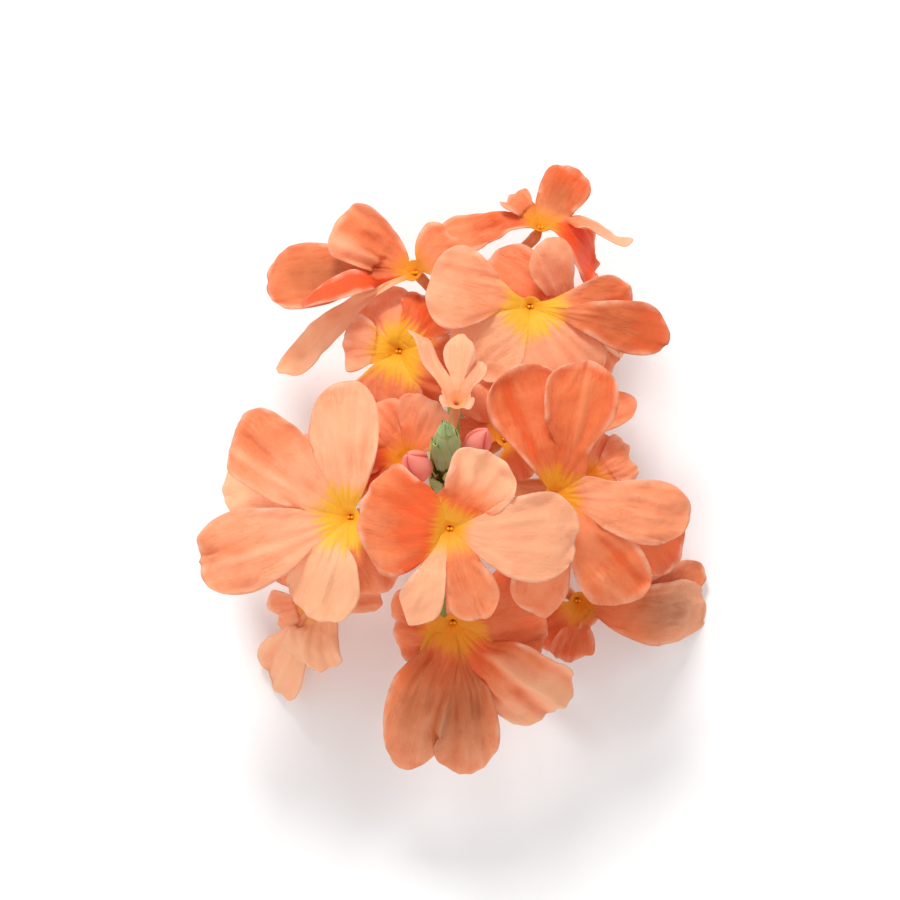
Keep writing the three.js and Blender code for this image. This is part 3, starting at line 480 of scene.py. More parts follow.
# %% One lobe as a grid
def lobe_grid(flower, petal, sector, seed):
    """The lobe's middle surface, with what its finish needs at each point, in mm."""
    spine = lobe_spine(flower, petal)
    length = spine[2]
    along, across, u, v = lobe_outline(petal, length, seed)
    half = half_width(petal, along, v, sector, seed)
    tangent = heading(spine, np.clip(along, 0, 1))
    side = unit(np.cross(unit(flower["facing"]), tangent))
    normal = np.cross(tangent, side)
    roll = (math.radians(petal["roll"]) * ease(along))[..., None]
    sideways = side * np.cos(roll) + normal * np.sin(roll)
    lift = normal * np.cos(roll) - side * np.sin(roll)
    raised = petal["cup"] * across ** 2 * ease(along) + petal["curl"] * ease((along - 0.6) / 0.4)
    place = on_curve(spine, np.clip(along, 0, 1)) + sideways * (half * across)[..., None]
    place = place + lift * raised[..., None]
    return {
        "place": place,
        "along": along,
        "along_mm": along * length,
        "across_mm": half * across,
        "edge_mm": np.minimum((1 - np.abs(v)) * half, (1 - u) * length * 0.8),
        "fold_mm": fold_height(petal, along * length, petal["width"] / 2 * across, length),
        "tone": mix(petal["tone"][0], petal["tone"][1], ease((along - 0.1) / 0.8)),
        # browning, partly from age and partly painted shade, grows out from the throat and fades towards the
        # tip
        "age": petal["age"] * ease(along * 2.2) * (1 - 0.6 * ease((along - 0.5) / 0.4)),
        "hem": np.full_like(along, petal["hem"]),
        "seed": np.full_like(along, seed),
    }


first_lobe = lobe_grid(FLOWERS["front"], FLOWERS["front"]["lobes"][0], 60, 1)
print("length of the first lobe's spine, mm:", round(first_lobe["along_mm"].max(), 1))

# %% [markdown]
# ## A whole flower as one sheet
#
# Near the throat the five lobes are one piece of tissue, and only further out does each go its
# own way. Neighbouring edges are therefore pulled onto one line near the throat and share their
# points there, which closes the sheet without any later merging. The throat goes on down into
# the slender tube that carries the flower.

# %% Grow neighbouring lobes together
WIDEST_SECTOR = 80  # degrees of the throat's rim that one lobe can take
OPEN_GAP = 115  # degrees between two lobes from which they no longer join
INSIDE = 9  # mm added to the distance from the edge where two lobes are one, so no rim is drawn there


def grown_together(along, join):
    share = 1 - ease((along - 0.6 * join) / (0.6 * join))
    return np.where(share > 0.9, 1.0, share)


def flower_grids(flower, seed):
    """A flower's lobes in order round its throat, joined to each other, and the gaps between them."""
    petals = sorted(flower["lobes"], key=lambda petal: petal["azimuth"] % 360)
    count = len(petals)
    gaps = [(petals[(i + 1) % count]["azimuth"] - petals[i]["azimuth"]) % 360 for i in range(count)]
    grids = []
    for i, petal in enumerate(petals):
        sector = (min(gaps[i - 1], WIDEST_SECTOR) + min(gaps[i], WIDEST_SECTOR)) / 2
        grids.append(lobe_grid(flower, petal, sector, seed * 10 + i))
    columns = np.arange(COLUMNS + 1) / COLUMNS
    for i, petal in enumerate(petals):
        here, there = grids[i], grids[(i + 1) % count]
        here["joined"] = np.zeros(ROWS + 1)
        if gaps[i] > OPEN_GAP:
            continue
        share = grown_together(here["along"][:, -1], petal["join"])
        middle = (here["place"][:, -1] + there["place"][:, 0]) / 2
        pull_here = (middle - here["place"][:, -1]) * share[:, None]
        pull_there = (middle - there["place"][:, 0]) * share[:, None]
        here["place"] += pull_here[:, None] * (columns ** 1.5)[None, :, None]
        there["place"] += pull_there[:, None] * ((1 - columns) ** 1.5)[None, :, None]
        here["edge_mm"] += share[:, None] * INSIDE * columns[None, :] ** 2
        there["edge_mm"] += share[:, None] * INSIDE * (1 - columns[None, :]) ** 2
        here["joined"] = share
    return grids, gaps


front_grids, front_gaps = flower_grids(FLOWERS["front"], 1)
print("degrees between the front flower's lobes:", front_gaps)

# %% [markdown]
# ## Tubes
#
# Each flower's tube comes out between two bracts of its spike, one to three centimetres below
# the petals, and bends until the flower looks outwards. It is one tissue with the petals. A swept
# round section would leave a seam at the throat, so the tube is made of rings that start as the
# throat's own rim, close to a small mouth, and then open to the tube's own width.

# %% Where a tube leaves its spike
SPIKES = {
    "front": ((-0.5, -8, 18), (-0.9, 7.2, 50)),
    "back": ((1.5, 26.5, 12), (3, 31.5, 35)),
}
SPIKE_CORE_RADIUS = 2.1
FOOT_CLEARANCE = 0.3
TUBE_BOW = 0.35  # share of the way from spike to throat over which a tube keeps its direction


def spike_frame(name):
    """The spike's foot, its length, and its axis with two directions square to it."""
    foot, tip = (np.array(point, float) for point in SPIKES[name])
    axis = unit(tip - foot)
    right = unit(np.array([1.0, 0.0, 0.0]) - axis * axis[0])
    return foot, np.linalg.norm(tip - foot), axis, right, np.cross(axis, right)


def tube_curve(flower):
    """The middle line of a flower's tube, from its throat down to its foot."""
    spike, level, angle = flower["from"]
    base, length, axis, right, up = spike_frame(spike)
    turn = math.radians(angle)
    outward = math.cos(turn) * right + math.sin(turn) * up
    foot = base + level * length * axis + (SPIKE_CORE_RADIUS + FOOT_CLEARANCE) * outward
    throat = np.array(flower["at"], float)
    reach = TUBE_BOW * np.linalg.norm(throat - foot)
    start = foot + 0.8 * reach * axis + 0.6 * reach * outward
    return bezier([throat, throat - reach * unit(flower["facing"]), start, foot])


print("lengths of the tubes, mm:", {title: round(tube_curve(f)[2]) for title, f in FLOWERS.items()})

# %% Rings down a tube
TUBE_RINGS = 26
RINGS_CROWD = 2.2  # how much closer the rings stand near the throat
TUBE_RADIUS_AT_SPIKE = 0.8
TUBE_RADIUS_UNDER_THROAT = 1.0
MOUTH_RADIUS = 0.5  # the throat is a shallow funnel that all but closes over the tube
MOUTH_DEPTH = 1.3
TUBE_OPENS = 2.0  # mm below the mouth over which the tube reaches its full width


def flower_tube(flower, rim, ring, first, tone):
    """Rings from the throat's rim down the tube to its foot at the spike."""
    throat = np.array(flower["at"], float)
    curve = tube_curve(flower)
    facing = unit(flower["facing"])
    normal = unit(np.cross(facing, [0.3, 1.0, 0.2]))
    binormal = np.cross(facing, normal)
    arms = rim - throat
    heights = arms @ facing
    angles = np.unwrap(np.arctan2(arms @ binormal, arms @ normal))
    radii = np.hypot(arms @ binormal, arms @ normal)
    rings, depths = [], []
    for step in range(1, TUBE_RINGS + 1):
        fraction = (step / TUBE_RINGS) ** RINGS_CROWD
        upward = -heading(curve, np.array(fraction))
        normal = unit(normal - upward * (normal @ upward))
        binormal = np.cross(upward, normal)
        depth = fraction * curve[2]
        girth = mix(TUBE_RADIUS_UNDER_THROAT, TUBE_RADIUS_AT_SPIKE, ease(fraction * 2))
        girth = mix(MOUTH_RADIUS, girth, ease((depth - MOUTH_DEPTH) / TUBE_OPENS))
        settled = 1 - (1 - min(1.0, depth / MOUTH_DEPTH)) ** 1.5
        radius = mix(radii, girth, settled)[:, None]
        centre = on_curve(curve, np.array(fraction))
        spokes = np.cos(angles)[:, None] * normal + np.sin(angles)[:, None] * binormal
        rings.append(centre + spokes * radius + facing * (heights * (1 - settled))[:, None])
        depths.append(np.full(len(ring), depth))
    count = len(ring)
    index = np.concatenate([[ring], first + np.arange(TUBE_RINGS * count).reshape(TUBE_RINGS, count)])
    onward = np.roll(index, -1, axis=1)
    corners = (index[:-1], onward[:-1], onward[1:], index[1:])
    faces = np.stack(corners, axis=-1).reshape(-1, 4)
    depths = np.concatenate(depths)
    around = np.tile(angles * TUBE_RADIUS_UNDER_THROAT, TUBE_RINGS)
    blank = np.zeros_like(depths)
    fields = {"along_mm": -depths, "across_mm": around, "edge_mm": blank + INSIDE, "fold_mm": blank,
              "tone": blank + tone, "age": blank, "hem": blank, "seed": blank}
    return np.concatenate(rings), faces, fields


print("rings in a tube:", TUBE_RINGS)

# %% [markdown]
# ## Lobes, throat and tube as one sheet
#
# Two lobes that stand far apart leave a stretch of the throat's rim bare, and an arc fills it.
# Then all points go into one list, and points that two lobes share are counted once, so the
# sheet has no seam.

# %% The sheet of a flower: points, faces and what the finish reads
ARC_STEPS = 12
ARC_SHARE = 0.93  # an arc runs just inside the rim
FIELDS = ("along_mm", "across_mm", "edge_mm", "fold_mm", "tone", "age", "hem", "seed")


def rim_arc(throat, facing, start, end):
    """Points on the throat's rim where two lobes stand too far apart to join."""
    arm, last = start - throat, end - throat
    angle = math.atan2(np.cross(arm, last) @ facing, arm @ last) % (2 * math.pi)
    points = []
    for k in range(1, ARC_STEPS):
        turn = Matrix.Rotation(angle * k / ARC_STEPS, 3, Vector(facing))
        points.append(throat + ARC_SHARE * np.array(turn @ Vector(arm)))
    return points


def flower_sheet(flower, seed):
    """Points and four-sided faces of a flower, and what its finish reads at each point."""
    grids, gaps = flower_grids(flower, seed)
    count = len(grids)
    throat = np.array(flower["at"], float)
    facing = unit(flower["facing"])
    size = (ROWS + 1) * (COLUMNS + 1)
    ids = [np.arange(size).reshape(ROWS + 1, COLUMNS + 1) + i * size for i in range(count)]
    for i in range(count):
        welded = grids[i]["joined"] == 1
        ids[(i + 1) % count][welded, 0] = ids[i][welded, COLUMNS]
    places = [grid["place"].reshape(-1, 3) for grid in grids]
    fields = {name: [grid[name].ravel() for grid in grids] for name in FIELDS}
    faces = []
    for grid in ids:
        corners = (grid[:-1, :-1], grid[1:, :-1], grid[1:, 1:], grid[:-1, 1:])
        faces.append(np.stack(corners, axis=-1).reshape(-1, 4))

    ring, arcs = [], []
    for i in range(count):
        ring += [k for k in ids[i][0] if not ring or ring[-1] != k]
        if gaps[i] <= OPEN_GAP:
            continue
        here = grids[i]["place"][0, -1]
        there = grids[(i + 1) % count]["place"][0, 0]
        for point in rim_arc(throat, facing, here, there):
            ring.append(count * size + len(arcs))
            arcs.append(point)
    if ring[0] == ring[-1]:
        ring.pop()
    if arcs:
        places.append(np.array(arcs))
        for name in FIELDS:
            fields[name].append(np.full(len(arcs), fields[name][0][0]))
    points = np.concatenate(places)
    tube = flower_tube(flower, points[ring], ring, len(points), fields["tone"][0][0])
    points = np.concatenate([points, tube[0]])
    quads = np.concatenate(faces + [tube[1]])
    used, renumbered = np.unique(quads, return_inverse=True)
    values = {name: np.concatenate(fields[name] + [tube[2][name]])[used] for name in FIELDS}
    return points[used], renumbered.reshape(quads.shape), values


front_points, front_quads, _ = flower_sheet(FLOWERS["front"], 1)
print("the front flower's sheet has", len(front_points), "points and", len(front_quads), "faces")

# %% [markdown]
# ## Life in the petals
#
# A perfect formula looks like plastic. Real crossandra petals are as thin as tissue paper: fine
# pleats run out from the throat like the folds of a fan, the sheet swells and sinks between
# them, and its edge is gently ruffled. Each of these is a small shift along the sheet's own
# normal. A texture that only shades the surface would leave the edges straight. Pleats are laid
# out by angle round the throat, so they run on from lobe to lobe.

# %% Normals of a sheet, and its relief
PLEAT_HEIGHT, PLEAT_LENGTH, PLEATS_A_RADIAN = 0.24, 14.0, 9.0
SWELL_HEIGHT, SWELL_SIZE = 0.8, 5.5
RUFFLE_HEIGHT, RUFFLE_LENGTH, RUFFLES_A_RADIAN, RUFFLED_EDGE = 0.85, 7.0, 6.0, 3.2
CRINKLE_HEIGHT, CREASE_SIZE, PUCKER_SIZE, PATCH_SIZE = 0.5, (6.5, 1.5), (1.9, 1.3), 7.0
PUCKER_SHARE, PUCKERED_EDGE = 0.45, 5.0
HEM_HEIGHT, HEM_WIDTH, HEM_LENGTH, HEMS_A_RADIAN = 0.8, 1.8, 8.0, 2.2
# mm from the throat at which pleats, swells and ruffles are fully grown
PLEATS_GROWN, SWELLS_GROWN, RUFFLES_GROWN = 3.0, 7.0, 9.0


def sheet_normals(points, quads):
    """The sheet's normal at each point, from the faces round it."""
    diagonal = points[quads[:, 2]] - points[quads[:, 0]]
    other = points[quads[:, 3]] - points[quads[:, 1]]
    face = np.cross(diagonal, other)
    normals = np.zeros_like(points)
    for k in range(4):
        np.add.at(normals, quads[:, k], face)
    return unit(normals + 1e-9)


def relief(flower, points, values, seed):
    """Height in mm of the petals' pleats, swells, ruffles, crinkles, hems and folds."""
    throat = np.array(flower["at"], float)
    facing = unit(flower["facing"])
    first = unit(np.cross(facing, [0.3, 1.0, 0.2]))
    arms = points - throat
    angle = np.arctan2(arms @ np.cross(facing, first), arms @ first)
    radius = np.maximum(values["along_mm"], 0.0)
    grown = ease(radius / SWELLS_GROWN)
    near_edge = ease((RUFFLED_EDGE - values["edge_mm"]) / RUFFLED_EDGE)
    pleats = wander(angle * PLEATS_A_RADIAN, radius / PLEAT_LENGTH, seed) * (0.35 + 0.65 * grown)
    swells = wander(points[:, 0] / SWELL_SIZE, points[:, 1] / SWELL_SIZE, seed + 3)
    ruffles = wander(angle * RUFFLES_A_RADIAN + 4, radius / RUFFLE_LENGTH, seed + 5)
    patches = ease(wander(points[:, 0] / PATCH_SIZE, points[:, 1] / PATCH_SIZE, seed + 11) + 0.3)
    along, across = values["along_mm"], values["across_mm"]
    ridges = wander(along / CREASE_SIZE[0], across / CREASE_SIZE[1], values["seed"] + 7)
    puckers = wander(along / PUCKER_SIZE[0], across / PUCKER_SIZE[1], seed + 9)
    puckers = puckers * ease((PUCKERED_EDGE - values["edge_mm"]) / 4.0) * (1.2 - patches)
    crinkles = (1 - 2 * np.abs(ridges)) * patches + PUCKER_SHARE * puckers
    height = PLEAT_HEIGHT * pleats * ease(radius / PLEATS_GROWN)
    height += SWELL_HEIGHT * swells * grown
    height += RUFFLE_HEIGHT * ruffles * near_edge * ease(radius / RUFFLES_GROWN)
    height += CRINKLE_HEIGHT * crinkles * grown
    rolled = ease(0.5 + 1.2 * wander(angle * HEMS_A_RADIAN, radius / HEM_LENGTH, seed + 13))
    hem = values["hem"] * ease((HEM_WIDTH - values["edge_mm"]) / HEM_WIDTH)
    height += HEM_HEIGHT * hem * rolled * ease(radius / RUFFLES_GROWN)
    return (height + values["fold_mm"]) * (along > 0)


lumps = wander(np.linspace(0, 50, 2000), 0.5, 3)
print("the noise runs from", round(lumps.min(), 2), "to", round(lumps.max(), 2))

# %% [markdown]
# ## From arrays to a mesh
#
# The sheet has no thickness yet. A Solidify modifier gives it one, with a closed rim, and the
# values that the finish needs travel along as attributes of the points.

# %% Make a mesh object
PETAL_THICKNESS = 0.18
FLOOR_CLEARANCE = 0.15  # from a sheet's middle down to the table where a petal touches it
UV_STEP = 40  # mm between two lobes on the UV map, so that no two have the same pattern


def mesh_object(name, points, faces, attributes=()):
    """A mesh in the frame, from points in mm of the layout."""
    mesh = bpy.data.meshes.new(name)
    mesh.from_pydata(to_metres(points).tolist(), [], [list(map(int, face)) for face in faces])
    for title, numbers in dict(attributes).items():
        layer = mesh.attributes.new(title, "FLOAT", "POINT")
        layer.data.foreach_set("value", np.asarray(numbers, np.float32))
    mesh.shade_smooth()
    thing = bpy.data.objects.new(name, mesh)
    bpy.context.scene.collection.objects.link(thing)
    return thing


def add_uv(thing, across_mm, along_mm):
    """A UV map in mm: across the petal, and along it."""
    mesh = thing.data
    corner = np.zeros(len(mesh.loops), np.int32)
    mesh.loops.foreach_get("vertex_index", corner)
    pairs = np.stack([across_mm[corner], along_mm[corner]], axis=-1)
    mesh.uv_layers.new(name="petal_mm").data.foreach_set("uv", pairs.astype(np.float32).ravel())


def plain_mesh(thing):
    """A piece's mesh as its live modifiers make it."""
    graph = bpy.context.evaluated_depsgraph_get()
    return bpy.data.meshes.new_from_object(thing.evaluated_get(graph), depsgraph=graph)


def settle(thing):
    """Turns a piece with live modifiers into a plain mesh, at the same place."""
    baked = plain_mesh(thing)
    thing.modifiers.clear()
    thing.data = baked
    return thing


def triangles(things):
    return sum(len(face.vertices) - 2 for thing in things for face in thing.data.polygons)


print("thickness of a petal, mm:", PETAL_THICKNESS)

# %% [markdown]
# ## The flowers
#
# Each flower is one thin sheet, raised by its relief, laid on the table where it would sink into it, and
# given a wall. Light and shade are also painted along its folds: the tone is made paler on a fold's ridge,
# as painted light, and deeper in a dip, as painted shade.

# %% Make the sixteen flowers
# change of tone that paints light on fold ridges and shade in their dips
FOLD_PAINTED_LIGHT = 0.3  # change of tone for each mm of fold


def make_flower(name, flower, seed):
    points, quads, values = flower_sheet(flower, seed)
    normals = sheet_normals(points, quads)
    points = points + normals * relief(flower, points, values, seed)[:, None]
    points[:, 2] = np.maximum(points[:, 2], FLOOR_CLEARANCE)
    kept = {title: values[title] for title in ("age", "along_mm", "edge_mm")}
    # painted light on the ridges of folds and painted shade in their dips
    kept["tone"] = values["tone"] - FOLD_PAINTED_LIGHT * np.clip(values["fold_mm"], -1.0, 1.0)
    kept["star"] = np.full(len(points), flower["star"])
    kept["gold"] = np.full(len(points), flower.get("gold", 0.0))
    thing = mesh_object("corolla_" + name, points, quads, kept)
    add_uv(thing, values["across_mm"] + UV_STEP * values["seed"], values["along_mm"])
    wall = thing.modifiers.new("thickness", "SOLIDIFY")
    wall.thickness = PETAL_THICKNESS * MM
    wall.offset = 0.0
    return settle(thing)


corollas = {}
for number, (title, flower) in enumerate(FLOWERS.items()):
    corollas[title] = make_flower(title, flower, number + 1)
print("flowers made:", len(corollas), "triangles:", triangles(corollas.values()))

# %% [markdown]
# ## Colours and nodes
#
# Florists' colours are given as hex codes of what the eye sees, and Blender's shaders count in
# linear light. One function turns the first into the second.
#
# Materials and geometry are both built from nodes. Wiring them by hand in the editor is good for
# trying things out, and a script is better for keeping them. One small function adds any node:
# its inputs are given by name, or in a row from the first, and each is a plain value, another
# node, or one of another node's outputs.

# %% Colour and node helpers
def shade(hex_code):
    seen = [int(hex_code[i:i + 2], 16) / 255 for i in (1, 3, 5)]
    return (*[c / 12.92 if c <= 0.04045 else ((c + 0.055) / 1.055) ** 2.4 for c in seen], 1.0)


def add(tree, kind, inputs=(), stops=(), **settings):
    """Adds one node with its settings, its inputs and, for a colour ramp, its stops."""
    node = tree.nodes.new(kind)
    for title, value in settings.items():
        setattr(node, title, value)
    for title, value in inputs.items() if isinstance(inputs, dict) else enumerate(inputs):
        if isinstance(value, bpy.types.Node):
            value = next(output for output in value.outputs if output.enabled)
        if isinstance(value, bpy.types.NodeSocket):
            tree.links.new(value, node.inputs[title])
        else:
            node.inputs[title].default_value = value
    for number, (position, hex_code) in enumerate(stops):
        ramp = node.color_ramp.elements
        stop = ramp[number] if number < len(ramp) else ramp.new(position)
        stop.position, stop.color = position, shade(hex_code)
    return node


def empty_material(name):
    material = bpy.data.materials.new(name)
    material.use_nodes = True
    material.node_tree.nodes.clear()
    return material, material.node_tree


def node_group(name, inputs):
    """A Geometry Nodes tree with its named inputs, each a name, a kind of socket and a value."""
    group = bpy.data.node_groups.new(name, "GeometryNodeTree")
    group.interface.new_socket("Geometry", in_out="INPUT", socket_type="NodeSocketGeometry")
    for title, kind, value in inputs:
        group.interface.new_socket(title, in_out="INPUT", socket_type=kind).default_value = value
    group.interface.new_socket("Geometry", in_out="OUTPUT", socket_type="NodeSocketGeometry")
    return group


def end_group(group, geometry, material):
    """Ends a tree: copies become real mesh, with their material."""
    real = add(group, "GeometryNodeRealizeInstances", [geometry])
    finished = add(group, "GeometryNodeSetMaterial", {"Geometry": real, "Material": material})
    add(group, "NodeGroupOutput", [finished])
    return group


def run_nodes(thing, group, values):
    """Gives a piece the tree as a modifier, sets its inputs, and makes the result a plain mesh."""
    modifier = thing.modifiers.new(group.name, "NODES")
    modifier.node_group = group
    for item in group.interface.items_tree:
        if item.in_out == "INPUT" and item.name in values:
            modifier[item.identifier] = values[item.name]
    return settle(thing)


print("mid grey in linear light:", round(shade("#808080")[0], 3))

# %% [markdown]
# ## Petal
#
# A living crossandra petal is a skin of soft, water-filled cells over air. It looks matt, the
# light that enters it comes out again on the far side, and where petals lie over each other they
# glow deep orange. Subsurface scattering would do for a thick leaf, but this wall is thinner
# than light travels in it. So the finish mixes a rough, slightly sheeny surface with a
# translucent one. Its colours follow the petal: yellow rays round the throat, fine streaks
# along, and a pale rim. Its patterns lie on a UV map in mm, so each has a real size.

# %% Petal finish
# each pattern's size across and along the petal in mm, and its detail
PETAL_PATTERNS = {
    "streaks": (0.55, 11.0, 3.0),
    "blotches": (3.2, 4.5, 3.0),
    "fine": (0.35, 0.7, 3.0),
    "dimples": (1.0, 1.5, 2.0),
    "veins": (1.3, 7.0, 2.0),
    "patches": (6.0, 6.0, 1.0),
}
DEEPENED_BY = {"streaks": 0.16, "blotches": 0.34, "fine": 0.12}
# crease lines are painted deeper, as painted shade
CREASE_PAINTED_SHADE = 0.09
# the body's colours by tone, from palest peach to red-orange; the deeper tones also serve as painted shade
# on shaded lobes
BODY_COLOURS = [(0.0, "#ffc99a"), (0.3, "#fdb386"), (0.55, "#f5945f"), (0.78, "#ec7038"), (1.0, "#f75f24")]
# the brown stands for age on old flowers and is also painted shade on lobes in shadow
RIM_PEACH, BROWN_OF_AGE_AND_SHADE = "#ffd2ae", "#b5683c"
STAR_YELLOW, STAR_ORANGE = "#fccb30", "#ee9c20"
THROAT_ORANGE, TUBE_PEACH = "#f6a81c", "#f9b47c"
GLOWING_ORANGE = "#ff9452"  # what the light takes on inside a petal
PETAL_ROUGHNESS = (0.48, 0.66)
PETAL_BUMP = 0.3 * MM
LIGHT_THROUGH = 0.3  # share of the light that goes through a petal
SMOOTH = {"interpolation_type": "SMOOTHSTEP"}


def petal_patterns(tree):
    """The petal's noise patterns, and its creases: thin lines along it, in some patches."""
    on_petal = add(tree, "ShaderNodeUVMap", uv_map="petal_mm")
    patterns = {}
    for title, (across_mm, along_mm, detail) in PETAL_PATTERNS.items():
        size = (1 / across_mm, 1 / along_mm, 1.0)
        stretched = add(tree, "ShaderNodeMapping", {"Vector": on_petal, "Scale": size})
        noise = {"Vector": stretched, "Scale": 1.0, "Detail": detail}
        patterns[title] = add(tree, "ShaderNodeTexNoise", noise)
    middle = add(tree, "ShaderNodeMath", [patterns["veins"], 0.5], operation="SUBTRACT")
    middle = add(tree, "ShaderNodeMath", [middle], operation="ABSOLUTE")
    line = add(tree, "ShaderNodeMapRange", [middle, 0.05, 0.0], **SMOOTH)
    patch = add(tree, "ShaderNodeMapRange", [patterns["patches"], 0.48, 0.62], **SMOOTH)
    patterns["creases"] = add(tree, "ShaderNodeMath", [line, patch], operation="MULTIPLY")
    return patterns


def petal_body(tree, patterns, given):
    """Peach to red-orange by tone, creases painted deeper as shade, then the pale rim and browning from age
    and painted shade.
    """
    depth = given["tone"]
    for title, strength in DEEPENED_BY.items():
        centred = add(tree, "ShaderNodeMath", [patterns[title], 0.5], operation="SUBTRACT")
        depth = add(tree, "ShaderNodeMath", [centred, strength, depth], operation="MULTIPLY_ADD")
    # crease lines are painted a deeper orange, as shade
    creased = [patterns["creases"], CREASE_PAINTED_SHADE, depth]
    depth = add(tree, "ShaderNodeMath", creased, operation="MULTIPLY_ADD")
    body = add(tree, "ShaderNodeValToRGB", [depth], stops=BODY_COLOURS)
    edge, blotches = given["edge_mm"], patterns["blotches"]
    rim = add(tree, "ShaderNodeMapRange", [edge, 1.5, 0.05], **SMOOTH)
    broken = add(tree, "ShaderNodeMapRange", [blotches, 0.4, 0.65, 0.15, 0.75], **SMOOTH)
    rim = add(tree, "ShaderNodeMath", [rim, broken], operation="MULTIPLY")
    body = add(tree, "ShaderNodeMix", {0: rim, 6: body, 7: shade(RIM_PEACH)}, data_type="RGBA")
    # browning, partly age and partly painted shade, deepest away from the edge and in blotches
    inner = add(tree, "ShaderNodeMapRange", [edge, 0.2, 6.0, 0.15, 0.8], **SMOOTH)
    uneven = add(tree, "ShaderNodeMapRange", [blotches, 0.3, 0.7, 0.8, 1.0], **SMOOTH)
    worn_and_shaded = add(tree, "ShaderNodeMath", [given["age"], inner], operation="MULTIPLY")
    worn_and_shaded = add(tree, "ShaderNodeMath", [worn_and_shaded, uneven], operation="MULTIPLY")
    return add(tree, "ShaderNodeMix", {0: worn_and_shaded, 6: body, 7: shade(BROWN_OF_AGE_AND_SHADE)}, data_type="RGBA")


def petal_star(tree, patterns, given, body):
    """Yellow rays as far as the flower's star reaches, an orange throat and a peach tube."""
    star, along = given["star"], given["along_mm"]
    ray = add(tree, "ShaderNodeMapRange", [patterns["streaks"], 0.3, 0.7, 0.7, 1.25], **SMOOTH)
    reach = add(tree, "ShaderNodeMath", [star, ray], operation="MULTIPLY")
    short = add(tree, "ShaderNodeMath", [reach, along], operation="SUBTRACT")
    yellow = add(tree, "ShaderNodeMapRange", [short, -1.6, 1.8], **SMOOTH)
    opened = add(tree, "ShaderNodeMapRange", [star, 0.0, 1.5, 0.0, 0.95], **SMOOTH)
    yellow = add(tree, "ShaderNodeMath", [yellow, opened], operation="MULTIPLY")
    gold = {0: given["gold"], 6: shade(STAR_YELLOW), 7: shade(STAR_ORANGE)}
    gold = add(tree, "ShaderNodeMix", gold, data_type="RGBA")
    body = add(tree, "ShaderNodeMix", {0: yellow, 6: body, 7: gold}, data_type="RGBA")
    throat = add(tree, "ShaderNodeMapRange", [along, 0.5, -1.0, 0.0, 1.0], **SMOOTH)
    throat = add(tree, "ShaderNodeMath", [throat, 0.4], operation="MULTIPLY")
    body = add(tree, "ShaderNodeMix", {0: throat, 6: body, 7: shade(THROAT_ORANGE)}, data_type="RGBA")
    tube = add(tree, "ShaderNodeMapRange", [along, -1.2, -3.2], **SMOOTH)
    return add(tree, "ShaderNodeMix", {0: tube, 6: body, 7: shade(TUBE_PEACH)}, data_type="RGBA")


def petal_height(tree, patterns):
    """What the bump sees: fine grain and dimples, streaks, and creases that are cut in."""
    height = add(tree, "ShaderNodeMath", [patterns["fine"], 0.5], operation="MULTIPLY")
    for title, weight in {"streaks": 0.4, "creases": -0.25, "dimples": 0.9}.items():
        height = add(tree, "ShaderNodeMath", [patterns[title], weight, height], operation="MULTIPLY_ADD")
    return height


def petal_finish():
    material, tree = empty_material("living_petal")
    patterns = petal_patterns(tree)
    given = {}
    for title in ("tone", "age", "along_mm", "edge_mm", "star", "gold"):
        given[title] = add(tree, "ShaderNodeAttribute", attribute_name=title).outputs["Fac"]
    body = petal_star(tree, patterns, given, petal_body(tree, patterns, given))
    bump = {"Height": petal_height(tree, patterns), "Strength": 0.5, "Distance": PETAL_BUMP}
    rough = add(tree, "ShaderNodeMapRange", [patterns["fine"], 0.3, 0.7, *PETAL_ROUGHNESS], **SMOOTH)
    skin = add(tree, "ShaderNodeBsdfPrincipled", {
        "Base Color": body, "Normal": add(tree, "ShaderNodeBump", bump), "Roughness": rough,
        "Specular IOR Level": 0.3, "Sheen Weight": 0.08, "Sheen Roughness": 0.5})
    deeper = {0: 0.5, 6: body, 7: shade(GLOWING_ORANGE)}
    deeper = add(tree, "ShaderNodeMix", deeper, data_type="RGBA", blend_type="MULTIPLY")
    through = add(tree, "ShaderNodeBsdfTranslucent", {"Color": deeper})
    both = add(tree, "ShaderNodeMixShader", [LIGHT_THROUGH, skin, through])
    add(tree, "ShaderNodeOutputMaterial", {"Surface": both})
    return material


petal = petal_finish()
for corolla in corollas.values():
    corolla.data.materials.append(petal)
print("nodes in the petal's finish:", len(petal.node_tree.nodes))

# %% [markdown]
# ## Anthers in the throats
#
# Two small yellow anthers fill the mouth of each open flower. They are sacs of pollen, matt and
# grainy. One pair is the same in every flower, so one pair is made and set on a point in each
# throat. Geometry Nodes turns it to the way that the flower looks.

# %% Anthers
ANTHER_DEPTH = 1.1
ANTHER_LENGTH = 1.3
ANTHER_WIDTH = 0.6
POLLEN_LUMPS_A_MM = 6  # real pollen is finer, and would not show


def throat_points():
    """One point in each open throat, with the way that the flower faces."""
    opened = [flower for flower in FLOWERS.values() if flower["star"] > 0]
    throats = [np.array(flower["at"], float) for flower in opened]
    facings = [unit(flower["facing"]) for flower in opened]
    thing = mesh_object("anthers", [t - ANTHER_DEPTH * f for t, f in zip(throats, facings)], [])
    layer = thing.data.attributes.new("facing", "FLOAT_VECTOR", "POINT")
    layer.data.foreach_set("vector", np.array(facings, np.float32).ravel())
    return thing


